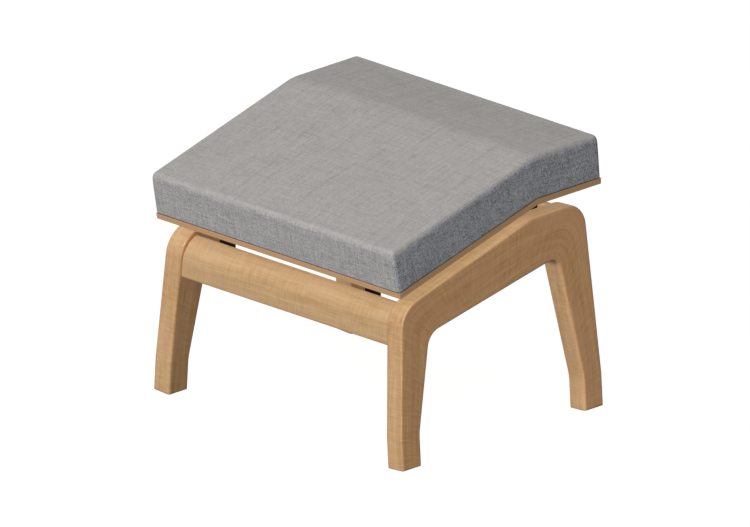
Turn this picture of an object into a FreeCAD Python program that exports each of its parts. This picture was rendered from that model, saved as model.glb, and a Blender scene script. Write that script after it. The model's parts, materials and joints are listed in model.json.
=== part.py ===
import FreeCAD, Part
import math
import os

# Glider ottoman: two arch-shaped wooden side frames joined by two rails, and an upholstered
# bent-plywood seat that swings fore and aft on four parallel steel links.
# Lengths are millimetres. X runs across the seat, Y is the depth measured from the front of
# the feet towards the back, and Z is the height above the floor. At the end every piece is
# moved along Y so that the origin lies under the middle of the whole object.

# Side frames
foot_span_width = 529.3
foot_span_depth = 424.2
frame_thickness = 32.8
frame_tilt = 3.6
glide_stand_off = 0.6
foot_height = 50.5
front_foot_depth = 38.0
rear_foot_depth = 38.4
front_leg_lean = 4.0
rear_leg_lean = 4.4
front_leg_inner_lean = 11.2
rear_leg_inner_lean = 12.2
frame_top_height = 323.8
frame_top_kink_setback = 147.8
slope_less_than_seat = 0.9
arch_drop = 68.4
arch_slope = 11.0
front_outer_radius = 67.0
rear_outer_radius = 37.0
front_inner_radius = 30.0
rear_inner_radius = 8.0
foot_bend_radius = 90.0
top_kink_radius = 90.0
frame_edge_round = 3.0

# Rails between the side frames
front_rail_setback = 13.9
front_rail_thickness = 30.0
front_rail_above_arch = 2.5
front_rail_straight_height = 22.3
front_rail_round = 40.0
rear_rail_setback = 23.0
rear_rail_thickness = 22.0
rear_rail_height = 63.0
rear_rail_drop = 10.8
rear_rail_round = 14.0
rail_edge_round = 2.0
dowel_diameter = 8.0
dowel_in_rail = 22.0
dowel_in_frame = 18.0
front_dowel_rises = (13.5, 35.5)
rear_dowel_rises = (14.0, 46.0)

# Leg glides
glide_diameter = 20.0

# Seat board, bent plywood
board_thickness = 10.5
board_side_setback = 6.55
board_front_overhang = 0.9
board_rear_overhang = 0.9
board_above_frame = 28.75
board_kink_setback = 133.8
seat_slope = 15.0
board_edge_round = 1.0
board_bend_radius = 24.0

# Upholstered cushion on the board
cushion_thickness = 69.2
cushion_side_inset = 0.8
cushion_front_inset = 2.9
cushion_rear_inset = 3.2
cushion_top_round = 11.0
cushion_corner_round = 4.0
cushion_bottom_round = 2.5
least_round = 0.5
cover_thickness = 1.5
soft_clearance = 0.3
cover_hem = 34.0
panel_thickness = 12.0

# Glide mechanism, one unit at each side
unit_inset = 110.65
link_length = 82.0
link_width = 22.0
link_thickness = 5.0
front_pivot_setback = 114.1
rear_swing_gap = 4.0
front_pivot_drop = 25.3
rear_pivot_drop = 41.5
swing_angle = 30.0
bolt_diameter = 10.0
thread_diameter = 8.0
bolt_head_size = 15.0
bolt_head_height = 5.0
nut_size = 13.0
nut_height = 5.0
nut_collar_height = 2.0
nut_collar_diameter = 11.0
thread_protrusion = 1.0
bushing_outer_diameter = 14.0
bushing_flange_diameter = 18.0
bushing_flange = 0.95
running_fit = 0.05
washer_diameter = 20.0
washer_thickness = 1.5

# Hanger brackets on the rails
hanger_width = 31.0
hanger_sheet = 3.0
front_hanger_inset = 14.5
rear_hanger_inset = 10.0
board_clearance = 8.0
ear_above_rail = 5.0
rear_hanger_rise = 9.0
rear_ear_drop = 23.0
ear_margin = 12.0
ear_corner_round = 11.0
stop_reach = 40.5
stop_slack = 2.3
stop_diameter = 12.0
stop_pin_diameter = 6.0
stop_pin_head = 10.0
stop_pin_head_height = 2.5
stop_length = 9.0
stop_margin = 10.0
stop_corner_round = 8.0
wood_screw_diameter = 4.5
wood_screw_depth = 18.0
screw_head_diameter = 8.0
screw_head_height = 2.6
screw_spread = 7.0
screw_row_pitch = 17.5
front_screw_margin = 9.0
rear_screw_margin = 7.0
head_round_share = 0.6

# Carriage plates that carry the seat board
carriage_sheet = 4.0
carriage_to_bushing = 14.45
carriage_end_radius = 11.0
carriage_corner_round = 10.78
carriage_shoulder_round = 5.5
carriage_nose_lean = 2.0
carriage_rear_lean = 2.2
carriage_flange_width = 32.0
carriage_front_reach = 30.0
carriage_front_drop = 13.0
flange_rear_reach = 44.0
lightening_hole_diameter = 34.0
lightening_hole_web = 16.0
flange_gap = 8.0
tube_diameter = 16.0
tube_wall = 1.6
tube_setback = 21.0
tube_rise = 8.0
spacer_diameter = 16.0
board_screw_diameter = 5.0
board_screw_depth = 8.0
board_screw_inset = 14.0

# Bolts that hold the cushion on the board
cushion_bolt_diameter = 6.0
cushion_bolt_inset = 62.0
cushion_bolt_head_diameter = 14.0
cushion_bolt_head_height = 3.0
cushion_washer_diameter = 20.0
cushion_washer_thickness = 1.2
tee_nut_barrel_diameter = 8.0
tee_nut_flange_diameter = 18.0
tee_nut_flange = 1.5
tee_nut_thread_left = 1.0

V = FreeCAD.Vector
ACROSS = V(1, 0, 0)
BACK = V(0, 1, 0)
UP = V(0, 0, 1)
overshoot = 1.0
same_place = 1e-3


def tangent(degrees):
    return math.tan(math.radians(degrees))


# Values that follow from the sizes above
foot_rise = glide_stand_off + frame_thickness * math.sin(math.radians(frame_tilt))
half_span = foot_span_width / 2
frame_top_slope = seat_slope - slope_less_than_seat
frame_top_kink_depth = foot_span_depth - frame_top_kink_setback
frame_top_at_front = frame_top_height - tangent(frame_top_slope) * frame_top_kink_depth
arch_front_height = frame_top_at_front - arch_drop
slope_sin = math.sin(math.radians(seat_slope))
slope_cos = math.cos(math.radians(seat_slope))
slope_tan = tangent(seat_slope)
kink_tan = tangent(seat_slope / 2)
board_rear = foot_span_depth + board_rear_overhang
board_width = foot_span_width - 2 * board_side_setback
board_kink_depth = foot_span_depth - board_kink_setback
board_bottom_height = frame_top_height + board_above_frame
board_top_height = board_bottom_height + board_thickness
front_rail_back = front_rail_setback + front_rail_thickness
front_rail_bottom = arch_front_height + front_rail_above_arch
front_rail_shoulder = front_rail_bottom + front_rail_straight_height
rear_rail_front = foot_span_depth - rear_rail_setback - rear_rail_thickness
rear_rail_top = frame_top_height - rear_rail_drop
rear_rail_bottom = rear_rail_top - rear_rail_height
unit_offset = half_span - unit_inset
link_inner = unit_offset + hanger_width / 2 - hanger_sheet - washer_thickness \
    - bushing_flange - running_fit - link_thickness
link_outer = link_inner + link_thickness
bushing_inner = link_inner - bushing_flange
bushing_outer = link_outer + bushing_flange
ear_inner = unit_offset + hanger_width / 2 - hanger_sheet
ear_outer = unit_offset + hanger_width / 2
inner_washer_start = bushing_inner - running_fit - washer_thickness
outer_washer_start = bushing_outer + running_fit
carriage_outer = inner_washer_start + washer_thickness - carriage_to_bushing
carriage_inner = carriage_outer - carriage_sheet
board_bottom_kink = board_kink_depth + board_thickness * kink_tan
swing_reach = link_length * math.sin(math.radians(swing_angle))


def seat_top_at(depth):
    """Height of the board's top at a depth."""
    return board_top_height - slope_tan * max(board_kink_depth - depth, 0)


def board_bottom_at(depth):
    """Height of the board's underside at a depth."""
    return board_bottom_height - slope_tan * max(board_bottom_kink - depth, 0)


def front_rail_crest():
    """Height of the front rail's rear top edge."""
    reach = front_rail_round - front_rail_thickness
    return front_rail_shoulder + math.sqrt(front_rail_round ** 2 - reach ** 2)


front_pivot_depth = front_rail_back + front_pivot_setback
front_pivot_height = board_bottom_at(front_pivot_depth) - front_pivot_drop
rear_pivot_depth = rear_rail_front - hanger_sheet - swing_reach - carriage_end_radius \
    - carriage_rear_lean - rear_swing_gap
rear_pivot_height = board_bottom_at(rear_pivot_depth) - rear_pivot_drop
front_lower = (front_pivot_depth, front_pivot_height - link_length)
rear_lower = (rear_pivot_depth, rear_pivot_height - link_length)
stop_angle = math.radians(swing_angle + stop_slack) \
    + math.asin((link_width + stop_diameter) / 2 / stop_reach)
stop_offset = stop_reach * math.sin(stop_angle)
stop_drop = stop_reach * math.cos(stop_angle)
front_hanger_bottom = front_rail_bottom + front_hanger_inset
front_hanger_top = board_bottom_at(front_rail_back) - board_clearance
front_ear_root_bottom = front_rail_crest() + ear_above_rail
rear_hanger_bottom = rear_rail_bottom + rear_hanger_inset
rear_hanger_top = rear_rail_top + rear_hanger_rise
rear_ear_root_bottom = rear_pivot_height - rear_ear_drop
carriage_front_depth = front_pivot_depth - carriage_front_reach
flange_rear_depth = rear_pivot_depth + flange_rear_reach
front_tube_depth = front_pivot_depth + tube_setback
rear_tube_depth = rear_pivot_depth - tube_setback


# Plain shapes

def outline_wire(corners, x=0.0):
    """Closed outline at one X. Each corner is (depth, height, radius)."""
    count = len(corners)
    runs = []
    for index, (y, z, radius) in enumerate(corners):
        here = V(x, y, z)
        if radius <= 0:
            runs.append((here, None, here))
            continue
        before = V(x, *corners[index - 1][:2]).sub(here).normalize()
        after = V(x, *corners[(index + 1) % count][:2]).sub(here).normalize()
        half_angle = before.getAngle(after) / 2
        reach = radius / math.tan(half_angle)
        towards_centre = before.add(after).normalize()
        depth = radius / math.sin(half_angle) - radius
        runs.append((here + before * reach, here + towards_centre * depth, here + after * reach))
    edges = []
    for index, (start, middle, end) in enumerate(runs):
        if middle is not None:
            edges.append(Part.Arc(start, middle, end).toShape())
        following = runs[(index + 1) % count][0]
        if end.distanceToPoint(following) > 1e-6:
            edges.append(Part.LineSegment(end, following).toShape())
    return Part.Wire(edges)


def plate(corners, x_start, x_end):
    """Outline in the YZ plane with a thickness along X."""
    face = Part.Face(outline_wire(corners, x_start))
    return face.extrude(ACROSS * (x_end - x_start))


def rod(radius, y, z, x_start, x_end):
    return Part.makeCylinder(radius, x_end - x_start, V(x_start, y, z), ACROSS)


def ring(outer_radius, inner_radius, y, z, x_start, x_end):
    return rod(outer_radius, y, z, x_start, x_end).cut(rod(inner_radius, y, z, x_start, x_end))


def hexagon(across_flats, y, z, x_start, x_end):
    radius = across_flats / math.sqrt(3)
    turns = [math.radians(60 * step) for step in range(6)]
    corners = [(y + radius * math.cos(a), z + radius * math.sin(a), 0) for a in turns]
    return plate(corners, x_start, x_end)


def box(x_start, x_end, y_start, y_end, z_start, z_end):
    size = (x_end - x_start, y_end - y_start, z_end - z_start)
    return Part.makeBox(*size, V(x_start, y_start, z_start))


def mirrored(shape):
    return shape.mirror(V(0, 0, 0), ACROSS)


def both_sides(shapes):
    """The given right-hand shapes and their left-hand mirror images."""
    return list(shapes) + [mirrored(shape) for shape in shapes]


def group(shapes):
    return Part.makeCompound(list(shapes))


def cut_all(shape, tools):
    return shape.cut(group(tools))


def fillet(shape, radii):
    """Rounds edges, each with its own radius. radii holds (edge number, radius)."""
    document = FreeCAD.newDocument()
    base = document.addObject("Part::Feature", "Base")
    base.Shape = shape
    rounded = document.addObject("Part::Fillet", "Rounded")
    rounded.Base = base
    rounded.Edges = [(number, radius, radius) for number, radius in radii]
    document.recompute()
    result = rounded.Shape.copy()
    FreeCAD.closeDocument(document.Name)
    return result


def runs_along_x(edge):
    return edge.BoundBox.XLength > same_place and edge.BoundBox.YLength < same_place \
        and edge.BoundBox.ZLength < same_place


# Side frames

def frame_outline():
    """The arch seen from the side, with its foot at height 0."""
    lean = tangent(front_leg_lean)
    slope = tangent(frame_top_slope)
    front_top = (frame_top_at_front - slope * lean * foot_height) / (1 - slope * lean)
    front_edge = (front_top - foot_height) * lean
    rear_edge = foot_span_depth - (frame_top_height - foot_height) * tangent(rear_leg_lean)

    inner_lean = tangent(front_leg_inner_lean)
    arch = tangent(arch_slope)
    arch_front = (arch_front_height + arch * (front_foot_depth - foot_height * inner_lean)) \
        / (1 - arch * inner_lean)
    arch_front_depth = front_foot_depth + (arch_front - foot_height) * inner_lean

    rear_inner = foot_span_depth - rear_foot_depth
    rear_lean = tangent(rear_leg_inner_lean)
    arch_rear = (arch_front_height + arch * (rear_inner + foot_height * rear_lean)) \
        / (1 + arch * rear_lean)
    arch_rear_depth = rear_inner - (arch_rear - foot_height) * rear_lean
    return [
        (0, 0, 0),
        (0, foot_height, foot_bend_radius),
        (front_edge, front_top, front_outer_radius),
        (frame_top_kink_depth, frame_top_height, top_kink_radius),
        (rear_edge, frame_top_height, rear_outer_radius),
        (foot_span_depth, foot_height, foot_bend_radius),
        (foot_span_depth, 0, 0),
        (rear_inner, 0, 0),
        (rear_inner, foot_height, foot_bend_radius),
        (arch_rear_depth, arch_rear, rear_inner_radius),
        (arch_front_depth, arch_front, front_inner_radius),
        (front_foot_depth, foot_height, foot_bend_radius),
        (front_foot_depth, 0, 0),
    ]


def right_frame_blank():
    """One arch with rounded long edges, leaning in towards its top."""
    blank = plate(frame_outline(), half_span - frame_thickness, half_span)
    long_edges = []
    for number, edge in enumerate(blank.Edges, 1):
        bounds = edge.BoundBox
        in_side_face = bounds.XLength < same_place
        under_foot = bounds.ZMax < same_place
        if in_side_face and not under_foot:
            long_edges.append((number, frame_edge_round))
    blank = fillet(blank, long_edges)
    blank.rotate(V(half_span, 0, 0), BACK, -frame_tilt)
    blank.translate(UP * foot_rise)
    return blank


def frame_inner_x(height):
    """X of the right frame's inner face at a height above the floor."""
    return half_span - (height - foot_rise) * tangent(frame_tilt) \
        - frame_thickness / math.cos(math.radians(frame_tilt))


def space_between_frames():
    """A wedge that fills the room between the two tilted side frames."""
    low = 0.0
    high = frame_top_height
    points = [
        V(-frame_inner_x(low), 0, low),
        V(frame_inner_x(low), 0, low),
        V(frame_inner_x(high), 0, high),
        V(-frame_inner_x(high), 0, high),
    ]
    face = Part.Face(Part.makePolygon(points + points[:1]))
    return face.extrude(BACK * foot_span_depth)


def dowels():
    """Dowels on the right-hand side: two at each end of each rail."""
    rows = [(front_rail_setback + front_rail_thickness / 2, front_rail_bottom,
             front_dowel_rises),
            (rear_rail_front + rear_rail_thickness / 2, rear_rail_bottom, rear_dowel_rises)]
    pins = []
    for depth, bottom, rises in rows:
        for rise in rises:
            height = bottom + rise
            joint = frame_inner_x(height)
            pins.append(rod(dowel_diameter / 2, depth, height,
                            joint - dowel_in_rail, joint + dowel_in_frame))
    return pins


# Rails

def front_rail_blank():
    """Rail with a quarter-round front top, between the side frames."""
    back = front_rail_back
    centre_depth = front_rail_setback + front_rail_round
    rise = front_rail_crest() - front_rail_shoulder
    angle = (math.pi + math.atan2(rise, back - centre_depth)) / 2
    shoulder = V(0, front_rail_setback, front_rail_shoulder)
    middle = V(0, centre_depth + front_rail_round * math.cos(angle),
               front_rail_shoulder + front_rail_round * math.sin(angle))
    crest = V(0, back, front_rail_shoulder + rise)
    foot_back = V(0, back, front_rail_bottom)
    foot_front = V(0, front_rail_setback, front_rail_bottom)
    wire = Part.Wire([
        Part.LineSegment(foot_front, shoulder).toShape(),
        Part.Arc(shoulder, middle, crest).toShape(),
        Part.LineSegment(crest, foot_back).toShape(),
        Part.LineSegment(foot_back, foot_front).toShape(),
    ])
    wire.translate(ACROSS * -half_span)
    bar = Part.Face(wire).extrude(ACROSS * foot_span_width)
    sharp = []
    for edge in bar.Edges:
        at_shoulder = abs(edge.CenterOfMass.z - front_rail_shoulder) < same_place
        if runs_along_x(edge) and not at_shoulder:
            sharp.append(edge)
    bar = bar.makeFillet(rail_edge_round, sharp)
    return bar.common(space_between_frames())


def rear_rail_blank():
    """Rail at the back, with its outer top edge rounded over."""
    front = rear_rail_front
    back = rear_rail_front + rear_rail_thickness
    corners = [
        (front, rear_rail_bottom, rail_edge_round),
        (front, rear_rail_top, rail_edge_round),
        (back, rear_rail_top, rear_rail_round),
        (back, rear_rail_bottom, rail_edge_round),
    ]
    return plate(corners, -half_span, half_span).common(space_between_frames())


# Seat board and cushion

def seat_point(offset, inset):
    """Point of the front face, offset above the board's top and inset from its front edge."""
    board_length = (board_kink_depth + board_front_overhang
                    + board_thickness * slope_sin) / slope_cos
    along = board_length - inset
    return (board_kink_depth - along * slope_cos - offset * slope_sin,
            board_top_height - along * slope_sin + offset * slope_cos)


def kinked_slab(low, high, front_inset, rear_inset, half_width):
    """Slab between two offsets from the board's top, with bends concentric to the board's."""
    corners = [
        (*seat_point(low, front_inset), 0),
        (*seat_point(high, front_inset), 0),
        (board_kink_depth - high * kink_tan, board_top_height + high, board_bend_radius + high),
        (board_rear - rear_inset, board_top_height + high, 0),
        (board_rear - rear_inset, board_top_height + low, 0),
        (board_kink_depth - low * kink_tan, board_top_height + low, board_bend_radius + low),
    ]
    return plate(corners, -half_width, half_width)


def board_blank():
    slab = kinked_slab(-board_thickness, 0, 0, 0, board_width / 2)
    rim = [edge for edge in slab.Edges if not runs_across_the_bend(edge)]
    return slab.makeFillet(board_edge_round, rim)


def runs_across_the_bend(edge):
    """True for the seam edges along X where a straight run meets the bend."""
    reach = (board_bend_radius + 2 * cushion_thickness) * kink_tan + same_place
    return runs_along_x(edge) and abs(edge.CenterOfMass.y - board_kink_depth) < reach


def soft_block(skin):
    """The cushion's form, drawn in by skin on every side, with its edges rounded."""
    low = soft_clearance + skin
    high = cushion_thickness - skin
    block = kinked_slab(low, high, cushion_front_inset + skin, cushion_rear_inset + skin,
                        board_width / 2 - cushion_side_inset - skin)
    radii = []
    for number, edge in enumerate(block.Edges, 1):
        centre = edge.CenterOfMass
        if runs_across_the_bend(edge):
            continue
        rise = centre.z - seat_top_at(centre.y)
        if abs(rise - (low + high) / 2) < (high - low) / 4:
            radius = cushion_corner_round
        elif rise > (low + high) / 2:
            radius = cushion_top_round
        else:
            radius = cushion_bottom_round
        radii.append((number, max(radius - skin, least_round)))
    return fillet(block, radii)


def panel_blank():
    """Plywood panel inside the cushion's base."""
    skin = cover_thickness + soft_clearance
    low = soft_clearance + skin
    slab = kinked_slab(low, low + panel_thickness, cushion_front_inset + skin,
                       cushion_rear_inset + skin,
                       board_width / 2 - cushion_side_inset - skin)
    return slab.common(soft_block(skin))


def foam_core():
    """Foam above the panel, filling the cover."""
    skin = cover_thickness + soft_clearance
    low = soft_clearance + skin
    below = kinked_slab(-board_thickness, low + panel_thickness, -board_thickness,
                        -board_thickness, board_width / 2)
    return soft_block(skin).cut(below)


def cushion_cover():
    """Fabric cover wrapped round foam and panel, open underneath inside its hem."""
    opening = kinked_slab(-board_thickness, cover_thickness + 2 * soft_clearance,
                          cushion_front_inset + cover_hem, cushion_rear_inset + cover_hem,
                          board_width / 2 - cushion_side_inset - cover_hem)
    return soft_block(0).cut(soft_block(cover_thickness)).cut(opening)


# Glide mechanism, right-hand unit

def hanger(flange_front, bottom, top, ear_corners, ear_holes, screw_spots):
    """Sheet steel bracket: a flange on the rail and an ear that holds the pivot bolt."""
    inner = unit_offset - hanger_width / 2
    shape = box(inner, ear_outer, flange_front, flange_front + hanger_sheet, bottom, top)
    shape = shape.fuse(plate(ear_corners, ear_inner, ear_outer)).removeSplitter()
    for radius, (y, z) in ear_holes:
        shape = shape.cut(rod(radius, y, z, ear_inner - overshoot, ear_outer + overshoot))
    for x, z in screw_spots:
        hole = Part.makeCylinder(wood_screw_diameter / 2, hanger_sheet,
                                 V(x, flange_front, z), BACK)
        shape = shape.cut(hole)
    return shape


def stop_spots():
    """Places of the two rubber stops, before and behind the front upper pivot."""
    height = front_pivot_height - stop_drop
    return [(front_pivot_depth - stop_offset, height), (front_pivot_depth + stop_offset, height)]


def screw_triangle(low):
    """Two screws side by side at height low and one above them."""
    return [(unit_offset - screw_spread, low), (unit_offset + screw_spread, low),
            (unit_offset, low + screw_row_pitch)]


def front_screw_spots():
    return screw_triangle(front_hanger_bottom + front_screw_margin)


def rear_screw_spots():
    return screw_triangle(rear_hanger_bottom + rear_screw_margin)


def front_hanger():
    root = front_rail_back + hanger_sheet / 2
    end = front_pivot_depth + stop_offset + stop_margin
    low = front_pivot_height - stop_drop - stop_margin
    high = front_pivot_height + ear_margin
    corners = [
        (root, front_ear_root_bottom, 0),
        (root, front_hanger_top, 0),
        (front_pivot_depth - ear_margin, high, ear_margin),
        (front_pivot_depth + ear_margin, high, ear_margin),
        (end, low + 2 * stop_margin, stop_corner_round),
        (end, low, stop_corner_round),
    ]
    holes = [(bolt_diameter / 2, (front_pivot_depth, front_pivot_height))]
    holes += [(stop_pin_diameter / 2, spot) for spot in stop_spots()]
    return hanger(front_rail_back, front_hanger_bottom, front_hanger_top, corners, holes,
                  front_screw_spots())


def rear_hanger():
    flange_front = rear_rail_front - hanger_sheet
    root = rear_rail_front - hanger_sheet / 2
    corners = [
        (root, rear_ear_root_bottom, 0),
        (rear_pivot_depth - ear_margin, rear_pivot_height - ear_margin, ear_corner_round),
        (rear_pivot_depth - ear_margin, rear_pivot_height + ear_margin, ear_corner_round),
        (root, rear_hanger_top, 0),
    ]
    holes = [(bolt_diameter / 2, (rear_pivot_depth, rear_pivot_height))]
    return hanger(flange_front, rear_hanger_bottom, rear_hanger_top, corners, holes,
                  rear_screw_spots())


def hanger_screws():
    """Wood screws of the right-hand hangers, heads on the flanges."""
    screws = []
    rows = [(front_rail_back + hanger_sheet, -1, front_screw_spots()),
            (rear_rail_front - hanger_sheet, 1, rear_screw_spots())]
    for head_depth, way, spots in rows:
        for x, z in spots:
            start = V(x, head_depth, z)
            shank = Part.makeCylinder(wood_screw_diameter / 2, wood_screw_depth + hanger_sheet,
                                      start, BACK * way)
            head = Part.makeCylinder(screw_head_diameter / 2, screw_head_height,
                                     start, BACK * -way)
            head = domed(head, start, screw_head_height)
            screws.append(shank.fuse(head).removeSplitter())
    return screws


def domed(head, seat, height):
    """A round head with the edge that lies furthest from its seat rounded over."""
    circles = [edge for edge in head.Edges if edge.isClosed()]
    rim = max(circles, key=lambda edge: edge.CenterOfMass.distanceToPoint(seat))
    return head.makeFillet(height * head_round_share, [rim])


def swing_stops():
    """Rubber sleeves that the front links meet at the end of their swing."""
    sleeves = []
    for y, z in stop_spots():
        sleeves.append(ring(stop_diameter / 2, stop_pin_diameter / 2, y, z,
                            ear_inner - stop_length, ear_inner))
    return sleeves


def stop_pins():
    """Headed pins that hold the rubber sleeves on the hanger."""
    pins = []
    for y, z in stop_spots():
        shank = rod(stop_pin_diameter / 2, y, z, ear_inner - stop_length, ear_outer)
        inner_head = rod(stop_pin_head / 2, y, z,
                         ear_inner - stop_length - stop_pin_head_height,
                         ear_inner - stop_length)
        outer_head = rod(stop_pin_head / 2, y, z, ear_outer, ear_outer + stop_pin_head_height)
        pins.append(shank.fuse(inner_head).fuse(outer_head).removeSplitter())
    return pins


def link_bar(upper):
    """Flat link hanging straight down from its upper pivot."""
    y, z = upper
    radius = link_width / 2
    corners = [
        (y - radius, z + radius, radius),
        (y + radius, z + radius, radius),
        (y + radius, z - link_length - radius, radius),
        (y - radius, z - link_length - radius, radius),
    ]
    bar = plate(corners, link_inner, link_outer)
    for height in (z, z - link_length):
        bar = bar.cut(rod(bushing_outer_diameter / 2, y, height, link_inner, link_outer))
    return bar


def link_bushings(upper):
    """Flanged bushings pressed into both holes of a link from both sides."""
    y, z = upper
    bore = bolt_diameter / 2 + running_fit
    middle = (link_inner + link_outer) / 2
    bushings = []
    for height in (z, z - link_length):
        for face, edge in ((link_inner, bushing_inner), (link_outer, bushing_outer)):
            sleeve = rod(bushing_outer_diameter / 2, y, height,
                         min(middle, edge), max(middle, edge))
            collar = rod(bushing_flange_diameter / 2, y, height,
                         min(face, edge), max(face, edge))
            hole = rod(bore, y, height, min(middle, edge), max(middle, edge))
            bushings.append(sleeve.fuse(collar).cut(hole).removeSplitter())
    return bushings


def nut(y, z, start, way):
    """Lock nut with a round collar, running from start along X in the given sense."""
    hexagon_end = start + way * nut_height
    collar_end = hexagon_end + way * nut_collar_height
    body = hexagon(nut_size, y, z, min(start, hexagon_end), max(start, hexagon_end))
    collar = rod(nut_collar_diameter / 2, y, z,
                 min(hexagon_end, collar_end), max(hexagon_end, collar_end))
    thread = rod(thread_diameter / 2, y, z, min(start, collar_end), max(start, collar_end))
    return body.fuse(collar).cut(thread).removeSplitter()


def bolt(y, z, head_face, shank_end, way):
    """Shoulder bolt: head, plain shank from head_face to shank_end, and a thread."""
    thread_end = shank_end + way * (nut_height + nut_collar_height + thread_protrusion)
    head_end = head_face - way * bolt_head_height
    head = hexagon(bolt_head_size, y, z, min(head_face, head_end), max(head_face, head_end))
    shank = rod(bolt_diameter / 2, y, z, min(head_face, shank_end), max(head_face, shank_end))
    thread = rod(thread_diameter / 2, y, z, min(shank_end, thread_end),
                 max(shank_end, thread_end))
    return head.fuse(shank).fuse(thread).removeSplitter()


def washer(y, z, start):
    return ring(washer_diameter / 2, bolt_diameter / 2, y, z, start, start + washer_thickness)


upper_pivots = ((front_pivot_depth, front_pivot_height), (rear_pivot_depth, rear_pivot_height))
lower_pivots = (front_lower, rear_lower)


def upper_bolts():
    return [bolt(y, z, ear_outer, inner_washer_start, -1) for y, z in upper_pivots]


def upper_washers():
    starts = (inner_washer_start, outer_washer_start)
    return [washer(y, z, start) for y, z in upper_pivots for start in starts]


def upper_nuts():
    return [nut(y, z, inner_washer_start, -1) for y, z in upper_pivots]


def lower_bolts():
    shank_end = outer_washer_start + washer_thickness
    return [bolt(y, z, carriage_inner, shank_end, 1) for y, z in lower_pivots]


def lower_spacers():
    """Tubes that keep the links clear of the carriage plate."""
    end = bushing_inner - running_fit
    return [ring(spacer_diameter / 2, bolt_diameter / 2, y, z, carriage_outer, end)
            for y, z in lower_pivots]


def lower_washers():
    return [washer(y, z, outer_washer_start) for y, z in lower_pivots]


def lower_nuts():
    start = outer_washer_start + washer_thickness
    return [nut(y, z, start, 1) for y, z in lower_pivots]


# Carriage that carries the seat board, right-hand plate and the parts between the plates

def lower_edge_at(depth):
    """Height of the line through the two lower pivots."""
    grade = (rear_lower[1] - front_lower[1]) / (rear_lower[0] - front_lower[0])
    return front_lower[1] + grade * (depth - front_lower[0])


def carriage_outline():
    radius = carriage_end_radius
    front = front_lower[0] - radius
    rear = rear_lower[0] + radius
    return [
        (front, lower_edge_at(front) - radius, carriage_corner_round),
        (front - carriage_nose_lean, lower_edge_at(front) + radius, radius),
        (carriage_front_depth, board_bottom_at(carriage_front_depth) - carriage_front_drop,
         carriage_shoulder_round),
        (carriage_front_depth, board_bottom_at(carriage_front_depth), 0),
        (board_bottom_kink, board_bottom_height, board_bend_radius - board_thickness),
        (rear + carriage_rear_lean, board_bottom_height, 0),
        (rear, lower_edge_at(rear) - radius, carriage_corner_round),
    ]


def lightening_holes():
    """Round holes half way up the carriage plate."""
    holes = []
    room = rear_pivot_depth - front_pivot_depth
    count = int(room // (lightening_hole_diameter + lightening_hole_web))
    pitch = room / count
    for step in range(count):
        depth = front_pivot_depth + (step + 0.5) * pitch
        height = (lower_edge_at(depth) + board_bottom_at(depth)) / 2
        holes.append(rod(lightening_hole_diameter / 2, depth, height,
                         carriage_inner, carriage_outer))
    return holes


def flange_strip(start, end):
    """Flat strip under the board between two depths on one side of the bend."""
    drop = carriage_sheet / seat_normal(start).z
    corners = [
        (start, board_bottom_at(start), 0),
        (end, board_bottom_at(end), 0),
        (end, board_bottom_at(end) - drop, 0),
        (start, board_bottom_at(start) - drop, 0),
    ]
    return plate(corners, carriage_outer - carriage_flange_width, carriage_inner)


def carriage():
    """Side plate of the carriage with its two flanges, without screw holes."""
    shape = plate(carriage_outline(), carriage_inner, carriage_outer)
    shape = cut_all(shape, lightening_holes())
    shape = shape.fuse(flange_strip(carriage_front_depth, board_bottom_kink - flange_gap))
    shape = shape.fuse(flange_strip(board_bottom_kink + flange_gap, flange_rear_depth))
    shape = shape.removeSplitter()
    for y, z in lower_pivots:
        shape = shape.cut(rod(bolt_diameter / 2, y, z, carriage_inner, carriage_outer))
    return shape


def cross_tube(depth):
    """Tube welded between the two carriage plates."""
    height = lower_edge_at(depth) + tube_rise
    radius = tube_diameter / 2
    return ring(radius, radius - tube_wall, depth, height, -carriage_inner, carriage_inner)


def seat_normal(depth):
    """Upward normal of the board at a depth."""
    if depth < board_kink_depth:
        return V(0, -slope_sin, slope_cos)
    return V(UP)


def board_screw(depth):
    """Screw from below through the carriage flange into the board."""
    x = carriage_inner - (carriage_flange_width - carriage_sheet) / 2
    normal = seat_normal(depth)
    seat = V(x, depth, board_bottom_at(depth)) - normal * carriage_sheet
    shank = Part.makeCylinder(board_screw_diameter / 2, carriage_sheet + board_screw_depth,
                              seat, normal)
    head = Part.makeCylinder(screw_head_diameter / 2, screw_head_height, seat, normal * -1)
    head = domed(head, seat, screw_head_height)
    return shank.fuse(head).removeSplitter()


def board_screws():
    """Two screws in each flange strip."""
    depths = (carriage_front_depth + board_screw_inset,
              board_bottom_kink - flange_gap - board_screw_inset,
              board_bottom_kink + flange_gap + board_screw_inset,
              flange_rear_depth - board_screw_inset)
    return [board_screw(depth) for depth in depths]


# Bolts, washers and tee nuts of the cushion, right-hand side

def cushion_bolt_spots():
    """Point on the board's top and its normal for each cushion bolt."""
    x = board_width / 2 - cushion_bolt_inset
    spots = []
    for depth in (cushion_bolt_inset, board_rear - cushion_bolt_inset):
        spots.append((V(x, depth, seat_top_at(depth)), seat_normal(depth)))
    return spots


def panel_low():
    return 2 * soft_clearance + cover_thickness


def cushion_bolts():
    bolts = []
    for point, normal in cushion_bolt_spots():
        head_seat = point - normal * (board_thickness + cushion_washer_thickness)
        length = board_thickness + cushion_washer_thickness + panel_low() + panel_thickness \
            - tee_nut_thread_left
        shank = Part.makeCylinder(cushion_bolt_diameter / 2, length, head_seat, normal)
        head = Part.makeCylinder(cushion_bolt_head_diameter / 2, cushion_bolt_head_height,
                                 head_seat, normal * -1)
        head = domed(head, head_seat, cushion_bolt_head_height)
        bolts.append(shank.fuse(head).removeSplitter())
    return bolts


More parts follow.
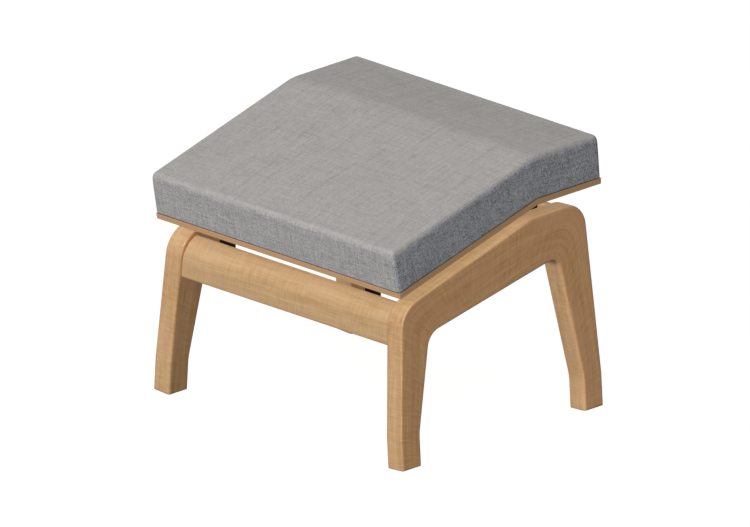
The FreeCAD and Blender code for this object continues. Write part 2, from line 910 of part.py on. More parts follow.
def cushion_washers():
    washers = []
    for point, normal in cushion_bolt_spots():
        seat = point - normal * (board_thickness + cushion_washer_thickness)
        disc = Part.makeCylinder(cushion_washer_diameter / 2, cushion_washer_thickness,
                                 seat, normal)
        hole = Part.makeCylinder(cushion_bolt_diameter / 2, cushion_washer_thickness,
                                 seat, normal)
        washers.append(disc.cut(hole))
    return washers


def tee_nut_blanks():
    """Tee nuts without their thread, let into the panel from above."""
    blanks = []
    for point, normal in cushion_bolt_spots():
        base = point + normal * panel_low()
        barrel = Part.makeCylinder(tee_nut_barrel_diameter / 2, panel_thickness, base, normal)
        flange_base = base + normal * (panel_thickness - tee_nut_flange)
        flange = Part.makeCylinder(tee_nut_flange_diameter / 2, tee_nut_flange,
                                   flange_base, normal)
        blanks.append(barrel.fuse(flange).removeSplitter())
    return blanks


def leg_glides(frame):
    """Round glides between the right frame's feet and the floor."""
    x = half_span - frame_thickness / 2
    depths = (front_foot_depth / 2, foot_span_depth - rear_foot_depth / 2)
    glides = []
    for depth in depths:
        disc = Part.makeCylinder(glide_diameter / 2, 2 * foot_rise, V(x, depth, 0))
        glides.append(disc.cut(frame))
    return glides


def build():
    """Every node's shape by name, in the bench frame."""
    pins = both_sides(dowels())
    screws = both_sides(hanger_screws())
    frame_blank = right_frame_blank()
    right_frame = cut_all(frame_blank, dowels())
    glides = both_sides(leg_glides(frame_blank))

    plate_screws = both_sides(board_screws())
    seat_bolts = both_sides(cushion_bolts())
    tee_blanks = both_sides(tee_nut_blanks())
    right_carriage = cut_all(carriage(), board_screws())

    nodes = {
        "right_side_frame": right_frame,
        "left_side_frame": mirrored(right_frame),
        "front_rail": cut_all(front_rail_blank(), pins + screws),
        "rear_rail": cut_all(rear_rail_blank(), pins + screws),
        "rail_dowels": group(pins),
        "leg_glides": group(glides),
        "front_right_hanger": front_hanger(),
        "front_left_hanger": mirrored(front_hanger()),
        "rear_right_hanger": rear_hanger(),
        "rear_left_hanger": mirrored(rear_hanger()),
        "hanger_screws": group(screws),
        "swing_stops": group(both_sides(swing_stops())),
        "swing_stop_pins": group(both_sides(stop_pins())),
        "upper_pivot_bolts": group(both_sides(upper_bolts())),
        "upper_pivot_washers": group(both_sides(upper_washers())),
        "upper_pivot_nuts": group(both_sides(upper_nuts())),
        "right_carriage_plate": right_carriage,
        "left_carriage_plate": mirrored(right_carriage),
        "front_cross_tube": cross_tube(front_tube_depth),
        "rear_cross_tube": cross_tube(rear_tube_depth),
        "lower_pivot_bolts": group(both_sides(lower_bolts())),
        "lower_pivot_spacers": group(both_sides(lower_spacers())),
        "lower_pivot_washers": group(both_sides(lower_washers())),
        "lower_pivot_nuts": group(both_sides(lower_nuts())),
        "seat_board": cut_all(board_blank(), plate_screws + seat_bolts),
        "board_screws": group(plate_screws),
        "cushion_panel": cut_all(panel_blank(), tee_blanks),
        "cushion_foam": foam_core(),
        "cushion_cover": cushion_cover(),
        "cushion_tee_nuts": group([blank.cut(group(seat_bolts)) for blank in tee_blanks]),
        "cushion_bolts": group(seat_bolts),
        "cushion_washers": group(both_sides(cushion_washers())),
    }
    for place, pivot in (("front", upper_pivots[0]), ("rear", upper_pivots[1])):
        bar = link_bar(pivot)
        bushings = link_bushings(pivot)
        nodes[place + "_right_link"] = bar
        nodes[place + "_left_link"] = mirrored(bar)
        nodes[place + "_right_link_bushings"] = group(bushings)
        nodes[place + "_left_link_bushings"] = group(mirrored(one) for one in bushings)
    return nodes


def middle_depth(nodes):
    """Half way between the foremost and the rearmost point of the object."""
    boxes = [shape.optimalBoundingBox() for shape in nodes.values()]
    return (min(one.YMin for one in boxes) + max(one.YMax for one in boxes)) / 2


def main():
    os.makedirs("parts", exist_ok=True)
    nodes = build()
    shift = middle_depth(nodes)
    for name, shape in nodes.items():
        shape.translate(BACK * -shift)
        shape.exportStep("parts/" + name + ".step")
    print("solids", sum(len(shape.Solids) for shape in nodes.values()))
    print("valid", all(shape.isValid() for shape in nodes.values()))
    print("middle depth %.3f" % shift)
    for label, (y, z) in (("front upper", upper_pivots[0]), ("rear upper", upper_pivots[1]),
                          ("front lower", front_lower), ("rear lower", rear_lower)):
        print("pivot %s: y %.3f z %.3f" % (label, y - shift, z))


main()
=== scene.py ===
"""Looks of a glider ottoman: wooden arches, bent plywood board, woven cover and its ironwork.

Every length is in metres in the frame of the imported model: X across the seat, Y from the low
front edge to the high rear edge, Z up from the floor.
"""

from __future__ import annotations

import json
import logging
import math
from dataclasses import dataclass
from enum import Enum
from typing import Sequence, Union

import bpy
import numpy as np
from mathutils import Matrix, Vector

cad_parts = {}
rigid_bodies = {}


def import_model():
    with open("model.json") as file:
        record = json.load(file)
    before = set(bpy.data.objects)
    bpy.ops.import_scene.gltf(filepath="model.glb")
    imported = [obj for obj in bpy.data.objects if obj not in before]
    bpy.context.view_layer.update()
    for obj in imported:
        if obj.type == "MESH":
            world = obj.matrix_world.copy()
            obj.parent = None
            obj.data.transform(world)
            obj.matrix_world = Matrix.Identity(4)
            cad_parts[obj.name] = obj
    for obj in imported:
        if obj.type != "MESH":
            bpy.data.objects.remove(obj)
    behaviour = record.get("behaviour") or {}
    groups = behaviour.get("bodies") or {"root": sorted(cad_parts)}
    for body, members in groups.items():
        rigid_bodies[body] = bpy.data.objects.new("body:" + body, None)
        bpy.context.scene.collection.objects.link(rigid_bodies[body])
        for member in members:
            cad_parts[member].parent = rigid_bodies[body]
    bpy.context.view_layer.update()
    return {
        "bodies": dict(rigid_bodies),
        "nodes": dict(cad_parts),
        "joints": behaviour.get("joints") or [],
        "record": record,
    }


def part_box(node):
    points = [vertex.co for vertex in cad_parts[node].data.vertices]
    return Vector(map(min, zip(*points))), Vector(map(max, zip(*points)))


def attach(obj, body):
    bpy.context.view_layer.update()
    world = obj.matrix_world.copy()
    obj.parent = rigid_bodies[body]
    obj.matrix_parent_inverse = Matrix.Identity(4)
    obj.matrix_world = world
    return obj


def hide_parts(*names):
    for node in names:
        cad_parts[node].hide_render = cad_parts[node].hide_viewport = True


LOG = logging.getLogger("ottoman")

Colour = tuple[float, float, float]
Corner = tuple[float, float, float]
Socket = bpy.types.NodeSocket
Input = Union[float, Colour, Socket]

TINY = 1e-12


class Side(Enum):
    """The two sides of the stool, as the sign of X."""

    LEFT = -1
    RIGHT = 1


def new_object(name: str, data: bpy.types.ID) -> bpy.types.Object:
    """Returns a new object that is linked into the scene."""
    made = bpy.data.objects.new(name, data)
    bpy.context.scene.collection.objects.link(made)
    return made


# Shapes in a plane

def smooth_step(value: np.ndarray, low: float, high: float) -> np.ndarray:
    """Rises from 0 at low to 1 at high along the cubic 3 t^2 - 2 t^3.

    Args:
        value: Numbers of any shape.
        low: Where the rise begins.
        high: Where it ends.

    Returns:
        The share risen, from 0 to 1, in the shape of value.
    """
    share = np.clip((value - low) / (high - low), 0.0, 1.0)
    return share * share * (3.0 - 2.0 * share)


def eased(value: np.ndarray, marks: Sequence[float], heights: Sequence[float]) -> np.ndarray:
    """Joins heights at marks with smooth steps.

    Args:
        value: Where the curve is read.
        marks: Rising places.
        heights: Height at each mark.

    Returns:
        The curve's heights.
    """
    total = np.full(len(value), heights[0])
    for low, high, start, end in zip(marks[:-1], marks[1:], heights[:-1], heights[1:]):
        total += (end - start) * smooth_step(value, low, high)
    return total


def unit(vector: np.ndarray) -> np.ndarray:
    """Returns the vector at length one."""
    return vector / np.linalg.norm(vector)


@dataclass(frozen=True)
class Path:
    """A finely sampled line in a plane, with the lengths at which its arcs begin and end."""

    points: np.ndarray
    lengths: np.ndarray
    arcs: np.ndarray

    @classmethod
    def through(cls, corners: Sequence[Corner], pitch: float = 0.0005) -> Path:
        """Joins straight runs with arcs.

        The arc at a corner touches both of its runs. It begins radius / tan(half angle) before
        the corner, and its centre lies radius / sin(half angle) from it on the bisector.

        Args:
            corners: The corners in order, each as (y, z, radius).
            pitch: Distance between samples.

        Returns:
            The path from the first corner to the last.
        """
        spots = np.array(corners)[:, :2]
        stretches: list[np.ndarray] = []
        marks: list[tuple[float, float]] = []
        start = spots[0]
        travelled = 0.0
        for index in range(1, len(spots) - 1):
            here, radius = spots[index], corners[index][2]
            before = unit(spots[index - 1] - here)
            after = unit(spots[index + 1] - here)
            half = math.acos(float(np.clip(before @ after, -1, 1))) / 2
            first = here + before * radius / math.tan(half)
            centre = here + unit(before + after) * radius / math.sin(half)
            spoke = first - centre
            turn = math.copysign(math.pi - 2 * half,
                                 before[1] * after[0] - before[0] * after[1])
            angles = np.linspace(0, turn, max(int(abs(turn) * radius / pitch), 8))
            arc = centre + np.stack([spoke[0] * np.cos(angles) - spoke[1] * np.sin(angles),
                                     spoke[0] * np.sin(angles) + spoke[1] * np.cos(angles)], -1)
            run = float(np.linalg.norm(first - start))
            stretches.append(np.linspace(start, first, max(int(run / pitch), 2))[:-1])
            stretches.append(arc[:-1])
            marks.append((travelled + run, travelled + run + abs(turn) * radius))
            travelled = marks[-1][1]
            start = arc[-1]
        run = float(np.linalg.norm(spots[-1] - start))
        stretches.append(np.linspace(start, spots[-1], max(int(run / pitch), 2)))
        points = np.concatenate(stretches)
        steps = np.linalg.norm(np.diff(points, axis=0), axis=1)
        return cls(points, np.concatenate([[0.0], np.cumsum(steps)]), np.array(marks))

    @property
    def length(self) -> float:
        """Length from end to end."""
        return float(self.lengths[-1])

    def at(self, lengths: np.ndarray) -> np.ndarray:
        """Returns the points at these lengths along the path."""
        return np.stack([np.interp(lengths, self.lengths, self.points[:, k]) for k in (0, 1)], -1)

    def normals(self, lengths: np.ndarray, reach: float = 0.001) -> np.ndarray:
        """Unit normals to the right of travel, from the chord a little before and after.

        Args:
            lengths: Lengths along the path.
            reach: Half the chord.

        Returns:
            One normal for each length.
        """
        ahead = self.at(np.minimum(lengths + reach, self.length))
        behind = self.at(np.maximum(lengths - reach, 0.0))
        along = ahead - behind
        along /= np.linalg.norm(along, axis=1, keepdims=True)
        return np.stack([along[:, 1], -along[:, 0]], -1)


# Meshes

def grid_quads(rows: int, columns: int, closed: bool = False) -> np.ndarray:
    """Quads between neighbours of a grid whose points are numbered row by row.

    Args:
        rows: Number of rows.
        columns: Number of points in a row.
        closed: Whether the last column joins the first.

    Returns:
        Four point numbers for each quad.
    """
    row = np.arange(rows - 1)[:, None] * columns
    column = np.arange(columns if closed else columns - 1)[None, :]
    following = (column + 1) % columns
    quads = np.stack([row + column, row + following,
                      row + columns + following, row + columns + column], -1)
    return quads.reshape(-1, 4)


def fan(rim: np.ndarray, hub: int, outward: bool) -> np.ndarray:
    """Triangles from a closed rim to a hub.

    Args:
        rim: Point numbers round the rim.
        hub: Number of the point in the middle.
        outward: Turns the triangles over if false.

    Returns:
        Three point numbers for each triangle.
    """
    following = np.roll(rim, -1)
    middle = np.full_like(rim, hub)
    order = (rim, following, middle) if outward else (following, rim, middle)
    return np.stack(order, -1)


@dataclass
class Surface:
    """Points and faces of one piece before it becomes a mesh."""

    points: np.ndarray
    faces: list[list[int]]
    vectors: dict[str, np.ndarray]

    def to_object(self, name: str, material: bpy.types.Material,
                  sharp_angle: float = math.radians(50)) -> bpy.types.Object:
        """Makes the piece.

        Args:
            name: The piece's name.
            material: Its finish.
            sharp_angle: Edges that fold more than this are shaded as creases.

        Returns:
            The new object, at the origin.
        """
        mesh = bpy.data.meshes.new(name)
        mesh.from_pydata(self.points.tolist(), [], self.faces)
        for key, values in self.vectors.items():
            attribute = mesh.attributes.new(key, "FLOAT_VECTOR", "POINT")
            attribute.data.foreach_set("vector", values.astype(np.float32).ravel())
        mesh.materials.append(material)
        mesh.shade_smooth()
        mesh.set_sharp_from_angle(angle=sharp_angle)
        mesh.update()
        return new_object(name, mesh)


# Materials

class Nodes:
    """A node tree under construction, with short forms for its nodes."""

    def __init__(self, tree: bpy.types.NodeTree) -> None:
        """Takes up a node tree."""
        self.nodes, self.links = tree.nodes, tree.links

    def put(self, socket: Socket, value: Input) -> None:
        """Links a socket into another or sets it to a constant."""
        if isinstance(value, bpy.types.NodeSocket):
            self.links.new(value, socket)
        elif isinstance(value, tuple) and socket.type == "RGBA":
            socket.default_value = (*value, 1.0)
        else:
            socket.default_value = value

    def math(self, kind: str, first: Input, second: Input = 0.0, third: Input = 0.0) -> Socket:
        """One arithmetic step.

        Args:
            kind: Blender's name of the operation.
            first: First number.
            second: Second number.
            third: Third number.

        Returns:
            The result's socket.
        """
        node = self.nodes.new("ShaderNodeMath")
        node.operation = kind
        for socket, value in zip(node.inputs, (first, second, third)):
            self.put(socket, value)
        return node.outputs[0]

    def vector(self, attribute: str) -> Socket:
        """Returns a vector that is kept on the piece's points."""
        node = self.nodes.new("ShaderNodeAttribute")
        node.attribute_name = attribute
        return node.outputs["Vector"]

    def place(self) -> Socket:
        """Returns the Object coordinates."""
        return self.nodes.new("ShaderNodeTexCoord").outputs["Object"]

    def weighted(self, *terms: tuple[Socket, Input]) -> Socket:
        """The sum of values times their weights, added up from the last term.

        Args:
            terms: Each value with its weight.

        Returns:
            The sum's socket.
        """
        total = self.math("MULTIPLY", *terms[-1])
        for value, weight in reversed(terms[:-1]):
            total = self.math("MULTIPLY_ADD", value, weight, total)
        return total

    def multiplied(self, first: Input, second: Input) -> Socket:
        """Returns two vectors or colours multiplied part by part."""
        node = self.nodes.new("ShaderNodeVectorMath")
        node.operation = "MULTIPLY"
        self.put(node.inputs[0], first)
        self.put(node.inputs[1], second)
        return node.outputs[0]

    def parts(self, vector: Socket) -> tuple[Socket, Socket, Socket]:
        """Returns a vector's three parts."""
        node = self.nodes.new("ShaderNodeSeparateXYZ")
        self.put(node.inputs[0], vector)
        return node.outputs[0], node.outputs[1], node.outputs[2]

    def joined(self, x: Input, y: Input, z: Input) -> Socket:
        """Returns the vector with these three parts."""
        node = self.nodes.new("ShaderNodeCombineXYZ")
        for socket, value in zip(node.inputs, (x, y, z)):
            self.put(socket, value)
        return node.outputs[0]

    def noise(self, vector: Socket, scale: float, detail: float = 2.0,
              roughness: float = 0.5) -> Socket:
        """Cloudy noise, from about 0.3 to 0.7 round 0.5.

        Args:
            vector: Where it is read.
            scale: Clouds for each unit of the vector.
            detail: Number of finer layers.
            roughness: How much the finer layers weigh.

        Returns:
            The noise's socket.
        """
        node = self.nodes.new("ShaderNodeTexNoise")
        self.put(node.inputs["Vector"], vector)
        node.inputs["Scale"].default_value = scale
        node.inputs["Detail"].default_value = detail
        node.inputs["Roughness"].default_value = roughness
        return node.outputs[0]

    def fibrous(self, vector: Socket, length: float, width: float, detail: float,
                roughness: float) -> Socket:
        """Noise whose clouds differ in size along the vector's first part and the other two.

        Args:
            vector: Where it is read.
            length: Size of a cloud along the first part.
            width: Its size along the other two.
            detail: Number of finer layers.
            roughness: How much the finer layers weigh.

        Returns:
            The noise's socket.
        """
        factors = (1 / length, 1 / width, 1 / width)
        return self.noise(self.multiplied(vector, factors), 1.0, detail, roughness)

    def chance(self, vector: Socket) -> Socket:
        """Returns a chance value from 0 to 1 that changes wherever the vector does."""
        node = self.nodes.new("ShaderNodeTexWhiteNoise")
        node.noise_dimensions = "3D"
        self.put(node.inputs["Vector"], vector)
        return node.outputs["Value"]

    def spread(self, value: Input, low: float, high: float, to_low: float = 0.0,
               to_high: float = 1.0) -> Socket:
        """Maps a range of numbers onto another and holds the ends.

        Args:
            value: The number.
            low: Start of its range.
            high: End of its range.
            to_low: What low becomes.
            to_high: What high becomes.

        Returns:
            The mapped number's socket.
        """
        node = self.nodes.new("ShaderNodeMapRange")
        node.clamp = True
        for socket, number in zip(node.inputs, (value, low, high, to_low, to_high)):
            self.put(socket, number)
        return node.outputs[0]

    def mix(self, share: Input, first: Input, second: Input) -> Socket:
        """Blends two colours.

        Args:
            share: 0 for the first, 1 for the second.
            first: One colour.
            second: The other colour.

        Returns:
            The blended colour's socket.
        """
        node = self.nodes.new("ShaderNodeMix")
        node.data_type = "RGBA"
        self.put(node.inputs[0], share)
        self.put(node.inputs[6], first)
        self.put(node.inputs[7], second)
        return node.outputs[2]

    def scaled(self, colour: Input, factor: Input) -> Socket:
        """Returns a colour multiplied by a number."""
        node = self.nodes.new("ShaderNodeVectorMath")
        node.operation = "SCALE"
        self.put(node.inputs[0], colour)
        self.put(node.inputs["Scale"], factor)
        return node.outputs[0]


class Graph(Nodes):
    """A material under construction."""

    def __init__(self, name: str) -> None:
        """Starts a material with its shader.

        Args:
            name: The material's name.
        """
        self.material = bpy.data.materials.new(name)
        self.material.use_nodes = True
        super().__init__(self.material.node_tree)
        self.shader = self.nodes["Principled BSDF"]

    def bump(self, height: Socket, depth: float, strength: float = 1.0) -> None:
        """Gives the surface a fine relief.

        Args:
            height: Relief from 0 to 1.
            depth: Its real depth.
            strength: Share of the relief that is used.
        """
        node = self.nodes.new("ShaderNodeBump")
        node.inputs["Distance"].default_value = depth
        node.inputs["Strength"].default_value = strength
        self.links.new(height, node.inputs["Height"])
        self.links.new(node.outputs[0], self.shader.inputs["Normal"])

    def finish(self, colour: Input, roughness: Input, **constants: float) -> bpy.types.Material:
        """Sets the shader's sockets.

        Args:
            colour: Base colour.
            roughness: Roughness.
            constants: Other sockets by their name with underscores.

        Returns:
            The finished material.
        """
        self.put(self.shader.inputs["Base Color"], colour)
        self.put(self.shader.inputs["Roughness"], roughness)
        for key, value in constants.items():
            self.shader.inputs[key.replace("_", " ")].default_value = value
        return self.material


@dataclass(frozen=True)
class Beech:
    """Lacquered light wood whose fibres run along the first part of the vector "grain".

    Its tone adds up long fibres, flecks that lie across them and broad bands, by weight. Clouds
    of blush lie over it. The parts of the vector "painted_light" are 1 on a frame's outward side,
    its top and its inward side. There the colour carries painted light and shade for how light
    falls on them: lighter on the outward side and the top, redder and less blue on the inward
    side.
    """

    name: str = "light_wood"
    dark: Colour = (0.456, 0.253, 0.109)
    light: Colour = (0.652, 0.427, 0.225)
    blush: Colour = (0.598, 0.366, 0.207)
    # painted light and shade: colour factors for the outward side, the top and the inward side
    outward: Colour = (1.25, 1.13, 1.04)
    crown: Colour = (1.12, 1.20, 1.21)
    inward: Colour = (1.08, 1.01, 0.90)
    fibre_width: float = 0.0034
    fibre_length: float = 0.070
    fleck_width: float = 0.0032
    fleck_length: float = 0.024
    band_width: float = 0.017
    band_length: float = 0.625
    weights: tuple[float, float, float] = (0.40, 0.30, 0.30)
    cloud_size: float = 0.050
    cloud_stretch: float = 2.0
    most_blush: float = 0.55
    relief: float = 0.00012

    def material(self) -> bpy.types.Material:
        """Returns the material."""
        graph = Graph(self.name)
        grain = graph.vector("grain")
        fibres = graph.fibrous(grain, self.fibre_length, self.fibre_width, 4.0, 0.62)
        flecks = graph.fibrous(grain, self.fleck_width, self.fleck_length, 3.0, 0.62)
        bands = graph.fibrous(grain, self.band_length, self.band_width, 2.0, 0.5)
        clouds = graph.noise(graph.multiplied(grain, (1 / self.cloud_stretch, 1.0, 1.0)),
                             1 / self.cloud_size, 3.0)
        tone = graph.weighted(*zip((fibres, flecks, bands), self.weights))
        colour = graph.mix(graph.spread(tone, 0.38, 0.62), self.dark, self.light)
        share = graph.spread(clouds, 0.46, 0.68, 0.0, self.most_blush)
        colour = graph.mix(share, colour, self.blush)
        # painted light and shade: the colour is multiplied by the factor of the outward side, the
        # top and the inward side, as far as a point belongs to each
        factor: Input = (1.0, 1.0, 1.0)
        for share, change in zip(graph.parts(graph.vector("painted_light")),
                                 (self.outward, self.crown, self.inward)):
            factor = graph.mix(share, factor, change)
        colour = graph.multiplied(colour, factor)
        graph.bump(graph.math("ADD", fibres, flecks), self.relief, 0.35)
        return graph.finish(colour, graph.spread(fibres, 0.3, 0.7, 0.42, 0.56),
                            Specular_IOR_Level=0.20, Coat_Weight=0.30, Coat_Roughness=0.20)


@dataclass(frozen=True)
class BentPly:
    """Lacquered bent plywood: face veneers, and layers that show on its edges.

    The vector "grain" holds the place across, the place along the bend and the depth below
    the top face.
    """

    name: str = "bent_plywood"
    veneer_dark: Colour = (0.43, 0.240, 0.105)
    veneer_light: Colour = (0.58, 0.350, 0.175)
    layer_dark: Colour = (0.590, 0.330, 0.158)
    layer_light: Colour = (0.690, 0.415, 0.214)
    layer_pitch: float = 0.0014
    fibre_width: float = 0.0012
    fibre_length: float = 0.06
    end_grain: Colour = (900.0, 900.0, 250.0)

    def material(self) -> bpy.types.Material:
        """Returns the material."""
        graph = Graph(self.name)
        grain = graph.vector("grain")
        fibres = graph.fibrous(grain, self.fibre_length, self.fibre_width, 3.0, 0.6)
        clouds = graph.noise(grain, 22.0, 2.0)
        tone = graph.weighted((fibres, 0.65), (clouds, 0.35))
        veneer = graph.mix(graph.spread(tone, 0.36, 0.64), self.veneer_dark, self.veneer_light)
        layer = graph.math("MULTIPLY", graph.parts(grain)[2], 1 / self.layer_pitch)
        odd = graph.spread(graph.math("PINGPONG", layer, 1.0), 0.35, 0.65)
        edge_grain = graph.noise(graph.multiplied(grain, self.end_grain), 1.0, 2.0)
        shade = graph.weighted((odd, 0.55), (edge_grain, 0.45))
        edge = graph.mix(shade, self.layer_dark, self.layer_light)
        rim = graph.parts(graph.vector("rim"))[0]
        colour = graph.mix(rim, veneer, edge)
        graph.bump(fibres, 0.0001, 0.3)
        return graph.finish(colour, graph.spread(fibres, 0.3, 0.7, 0.42, 0.56))


class Draw(Enum):
    """Numbers that keep the cloth's chance values apart."""

    WARP = 3.0
    WEFT = 7.0
    CROSSING = 11.0
    SPECKLE = 13.0
    UPRIGHT_STREAK = 21.0
    LEVEL_STREAK = 23.0


@dataclass(frozen=True)
class WovenCover:
    """Heathered grey plain weave on the map "weave".

    The vector "border" holds how far a point belongs to the borders, where the grey is cooler,
    and how far to the band of painted shade along the bottom edge, a dark strip that stands for
    the shadow in the gap above the board. A pair of numbers in a field is the value on the top
    and the one on the borders.

    Yarns cross as on a chessboard. Each yarn changes its grey after a length of its own, and
    each crossing has a change of its own on top. On the borders that change comes in cells
    finer than the crossings, and outweighs the yarns. Long streaks darken some of the yarns.
    """

    name: str = "grey_fabric"
    top: Colour = (0.425, 0.408, 0.391)
    border: Colour = (0.372, 0.387, 0.419)
    # painted shade: dark colour of the band along the cover's bottom edge, for the shadow in the
    # gap above the board
    gap_shade: Colour = (0.085, 0.086, 0.092)
    yarn: float = 0.00150
    slub_length: float = 0.018
    slub_shift: float = 31.0
    streak_length: float = 0.100
    streak_spacing: float = 1.37
    speckle_cells: float = 1.7
    speckle_from: float = 0.4
    yarn_weight: tuple[float, float] = (0.50, 0.26)
    speckle_weight: tuple[float, float] = (0.38, 0.66)
    heather_weight: float = 0.10
    contrast: tuple[float, float] = (0.50, 1.85)
    shade: tuple[float, float] = (1.020, 0.985)
    streak_shade: tuple[float, float] = (-0.24, -0.09)
    cool_power: float = 2.3
    relief: float = 0.00030

    def slub(self, graph: Graph, yarn: Socket, along: Socket, draw: Draw) -> Socket:
        """Grey of one set of yarns: a chance value for each yarn and stretch of it.

        Args:
            graph: The material.
            yarn: Number of the yarn.
            along: Place along it, in yarn widths.
            draw: Tells the two sets apart.

        Returns:
            The value from 0 to 1.
        """
        shift = graph.chance(graph.joined(yarn, draw.value, 0.0))
        place = graph.weighted((shift, self.slub_shift), (along, self.yarn / self.slub_length))
        return graph.chance(graph.joined(yarn, graph.math("FLOOR", place), draw.value + 1.0))

    def streak(self, graph: Graph, yarn: Socket, along: Socket, draw: Draw) -> Socket:
        """Noise that is long along the yarns of one set and changes from yarn to yarn.

        Args:
            graph: The material.
            yarn: Number of the yarn.
            along: Place along it, in yarn widths.
            draw: Tells the two sets apart.

        Returns:
            The noise's socket.
        """
        beside = graph.math("MULTIPLY", yarn, self.streak_spacing)
        place = graph.math("MULTIPLY", along, self.yarn / self.streak_length)
        parts = (beside, place) if draw is Draw.UPRIGHT_STREAK else (place, beside)
        return graph.noise(graph.joined(*parts, draw.value), 1.0, 0.0)

    def speckle(self, graph: Graph, u: Socket, v: Socket, side: Socket) -> Socket:
        """A chance value for each crossing, or on the borders for each finer cell.

        Args:
            graph: The material.
            u: Place across, in yarn widths.
            v: Place along, in yarn widths.
            side: 1 on the borders, otherwise 0.

        Returns:
            The value from 0 to 1.
        """
        crossing = graph.chance(graph.joined(graph.math("FLOOR", u), graph.math("FLOOR", v),
                                             Draw.CROSSING.value))
        cells = [graph.math("FLOOR", graph.math("MULTIPLY", part, self.speckle_cells))
                 for part in (u, v)]
        finer = graph.chance(graph.joined(*cells, Draw.SPECKLE.value))
        return graph.math("MULTIPLY_ADD", side, graph.math("SUBTRACT", finer, crossing), crossing)

    def material(self) -> bpy.types.Material:
        """Returns the material."""
        graph = Graph(self.name)
        node = graph.nodes.new("ShaderNodeUVMap")
        node.uv_map = "weave"
        weave = graph.multiplied(node.outputs[0], (1 / self.yarn, 1 / self.yarn, 0.0))
        u, v, _ = graph.parts(weave)
        column, row = graph.math("FLOOR", u), graph.math("FLOOR", v)
        over = graph.math("PINGPONG", graph.math("ADD", column, row), 1.0)
        under = graph.math("SUBTRACT", 1.0, over)
        warp = graph.math("MULTIPLY", self.slub(graph, column, v, Draw.WARP), over)
        weft = graph.math("MULTIPLY", self.slub(graph, row, u, Draw.WEFT), under)
        border, gap_shade_band, _ = graph.parts(graph.vector("border"))
        speckle = self.speckle(graph, u, v,
                               graph.math("GREATER_THAN", border, self.speckle_from))
        upright = self.streak(graph, column, v, Draw.UPRIGHT_STREAK)
        level = self.streak(graph, row, u, Draw.LEVEL_STREAK)
        streaks = graph.math("ADD", graph.spread(upright, 0.54, 0.80, 0.0, 0.6),
                             graph.spread(level, 0.56, 0.80, 0.0, 0.4))
        heather = graph.noise(weave, 0.035, 2.0)
        yarn_weight, speckle_weight, contrast, plain, streak_shade = (
            graph.spread(border, 0.0, 1.0, *pair) for pair in (
                self.yarn_weight, self.speckle_weight, self.contrast, self.shade,
                self.streak_shade))
        tone = graph.weighted((speckle, speckle_weight), (heather, self.heather_weight),
                              (graph.math("ADD", warp, weft), yarn_weight))
        shade = graph.math("MULTIPLY_ADD", graph.math("SUBTRACT", tone, 0.5), contrast, plain)
        shade = graph.math("MULTIPLY_ADD", streaks, streak_shade, shade)
        cool = graph.math("MULTIPLY", graph.math("POWER", border, self.cool_power),
                          graph.spread(speckle, 0.0, 1.0, 1.4, 0.5))
        # painted shade: the band along the bottom edge is mixed to the dark colour
        base = graph.mix(gap_shade_band, graph.mix(cool, self.top, self.border), self.gap_shade)
        round_u, round_v = (
            graph.math("SINE", graph.math("MULTIPLY", graph.math("FRACT", part), math.pi))
            for part in (u, v))
        graph.bump(graph.weighted((round_u, over), (round_v, under)), self.relief, 0.5)
        return graph.finish(graph.scaled(base, shade), 0.94, Sheen_Weight=0.04,
                            Sheen_Roughness=0.5, Specular_IOR_Level=0.12)


@dataclass(frozen=True)
class Metal:
    """Bare or plated metal with a fine turned or drawn haze."""

    name: str
    colour: Colour
    roughness: float = 0.34
    haze: float = 900.0
    stained: float = 0.82

    def material(self) -> bpy.types.Material:
        """Returns the material."""
        graph = Graph(self.name)
        place = graph.place()
        haze = graph.noise(place, self.haze, 3.0, 0.6)
        stain = graph.noise(place, 60.0, 2.0)
        colour = graph.mix(graph.spread(stain, 0.35, 0.7),
                           self.colour, tuple(self.stained * part for part in self.colour))
        graph.bump(haze, 0.00004, 0.3)
        return graph.finish(colour, graph.spread(haze, 0.3, 0.7, self.roughness - 0.07,
                                                 self.roughness + 0.09), Metallic=1.0)


@dataclass(frozen=True)
class Coating:
    """Painted, moulded or rubbery finish with a fine skin."""

    name: str
    colour: Colour
    roughness: float
    skin: float
    skin_depth: float
    dusted: float = 1.6

    def material(self) -> bpy.types.Material:
        """Returns the material."""
        graph = Graph(self.name)
        place = graph.place()
        skin = graph.noise(place, self.skin, 2.0, 0.5)
        dust = graph.noise(place, 45.0, 3.0, 0.6)
        pale = tuple(part * self.dusted + 0.001 for part in self.colour)
        colour = graph.mix(graph.spread(dust, 0.4, 0.75, 0.0, 0.7), self.colour, pale)
        graph.bump(skin, self.skin_depth, 0.4)
        return graph.finish(colour, graph.spread(dust, 0.3, 0.7, self.roughness - 0.05,
                                                 self.roughness + 0.07), Specular_IOR_Level=0.15)


# Wooden side frames

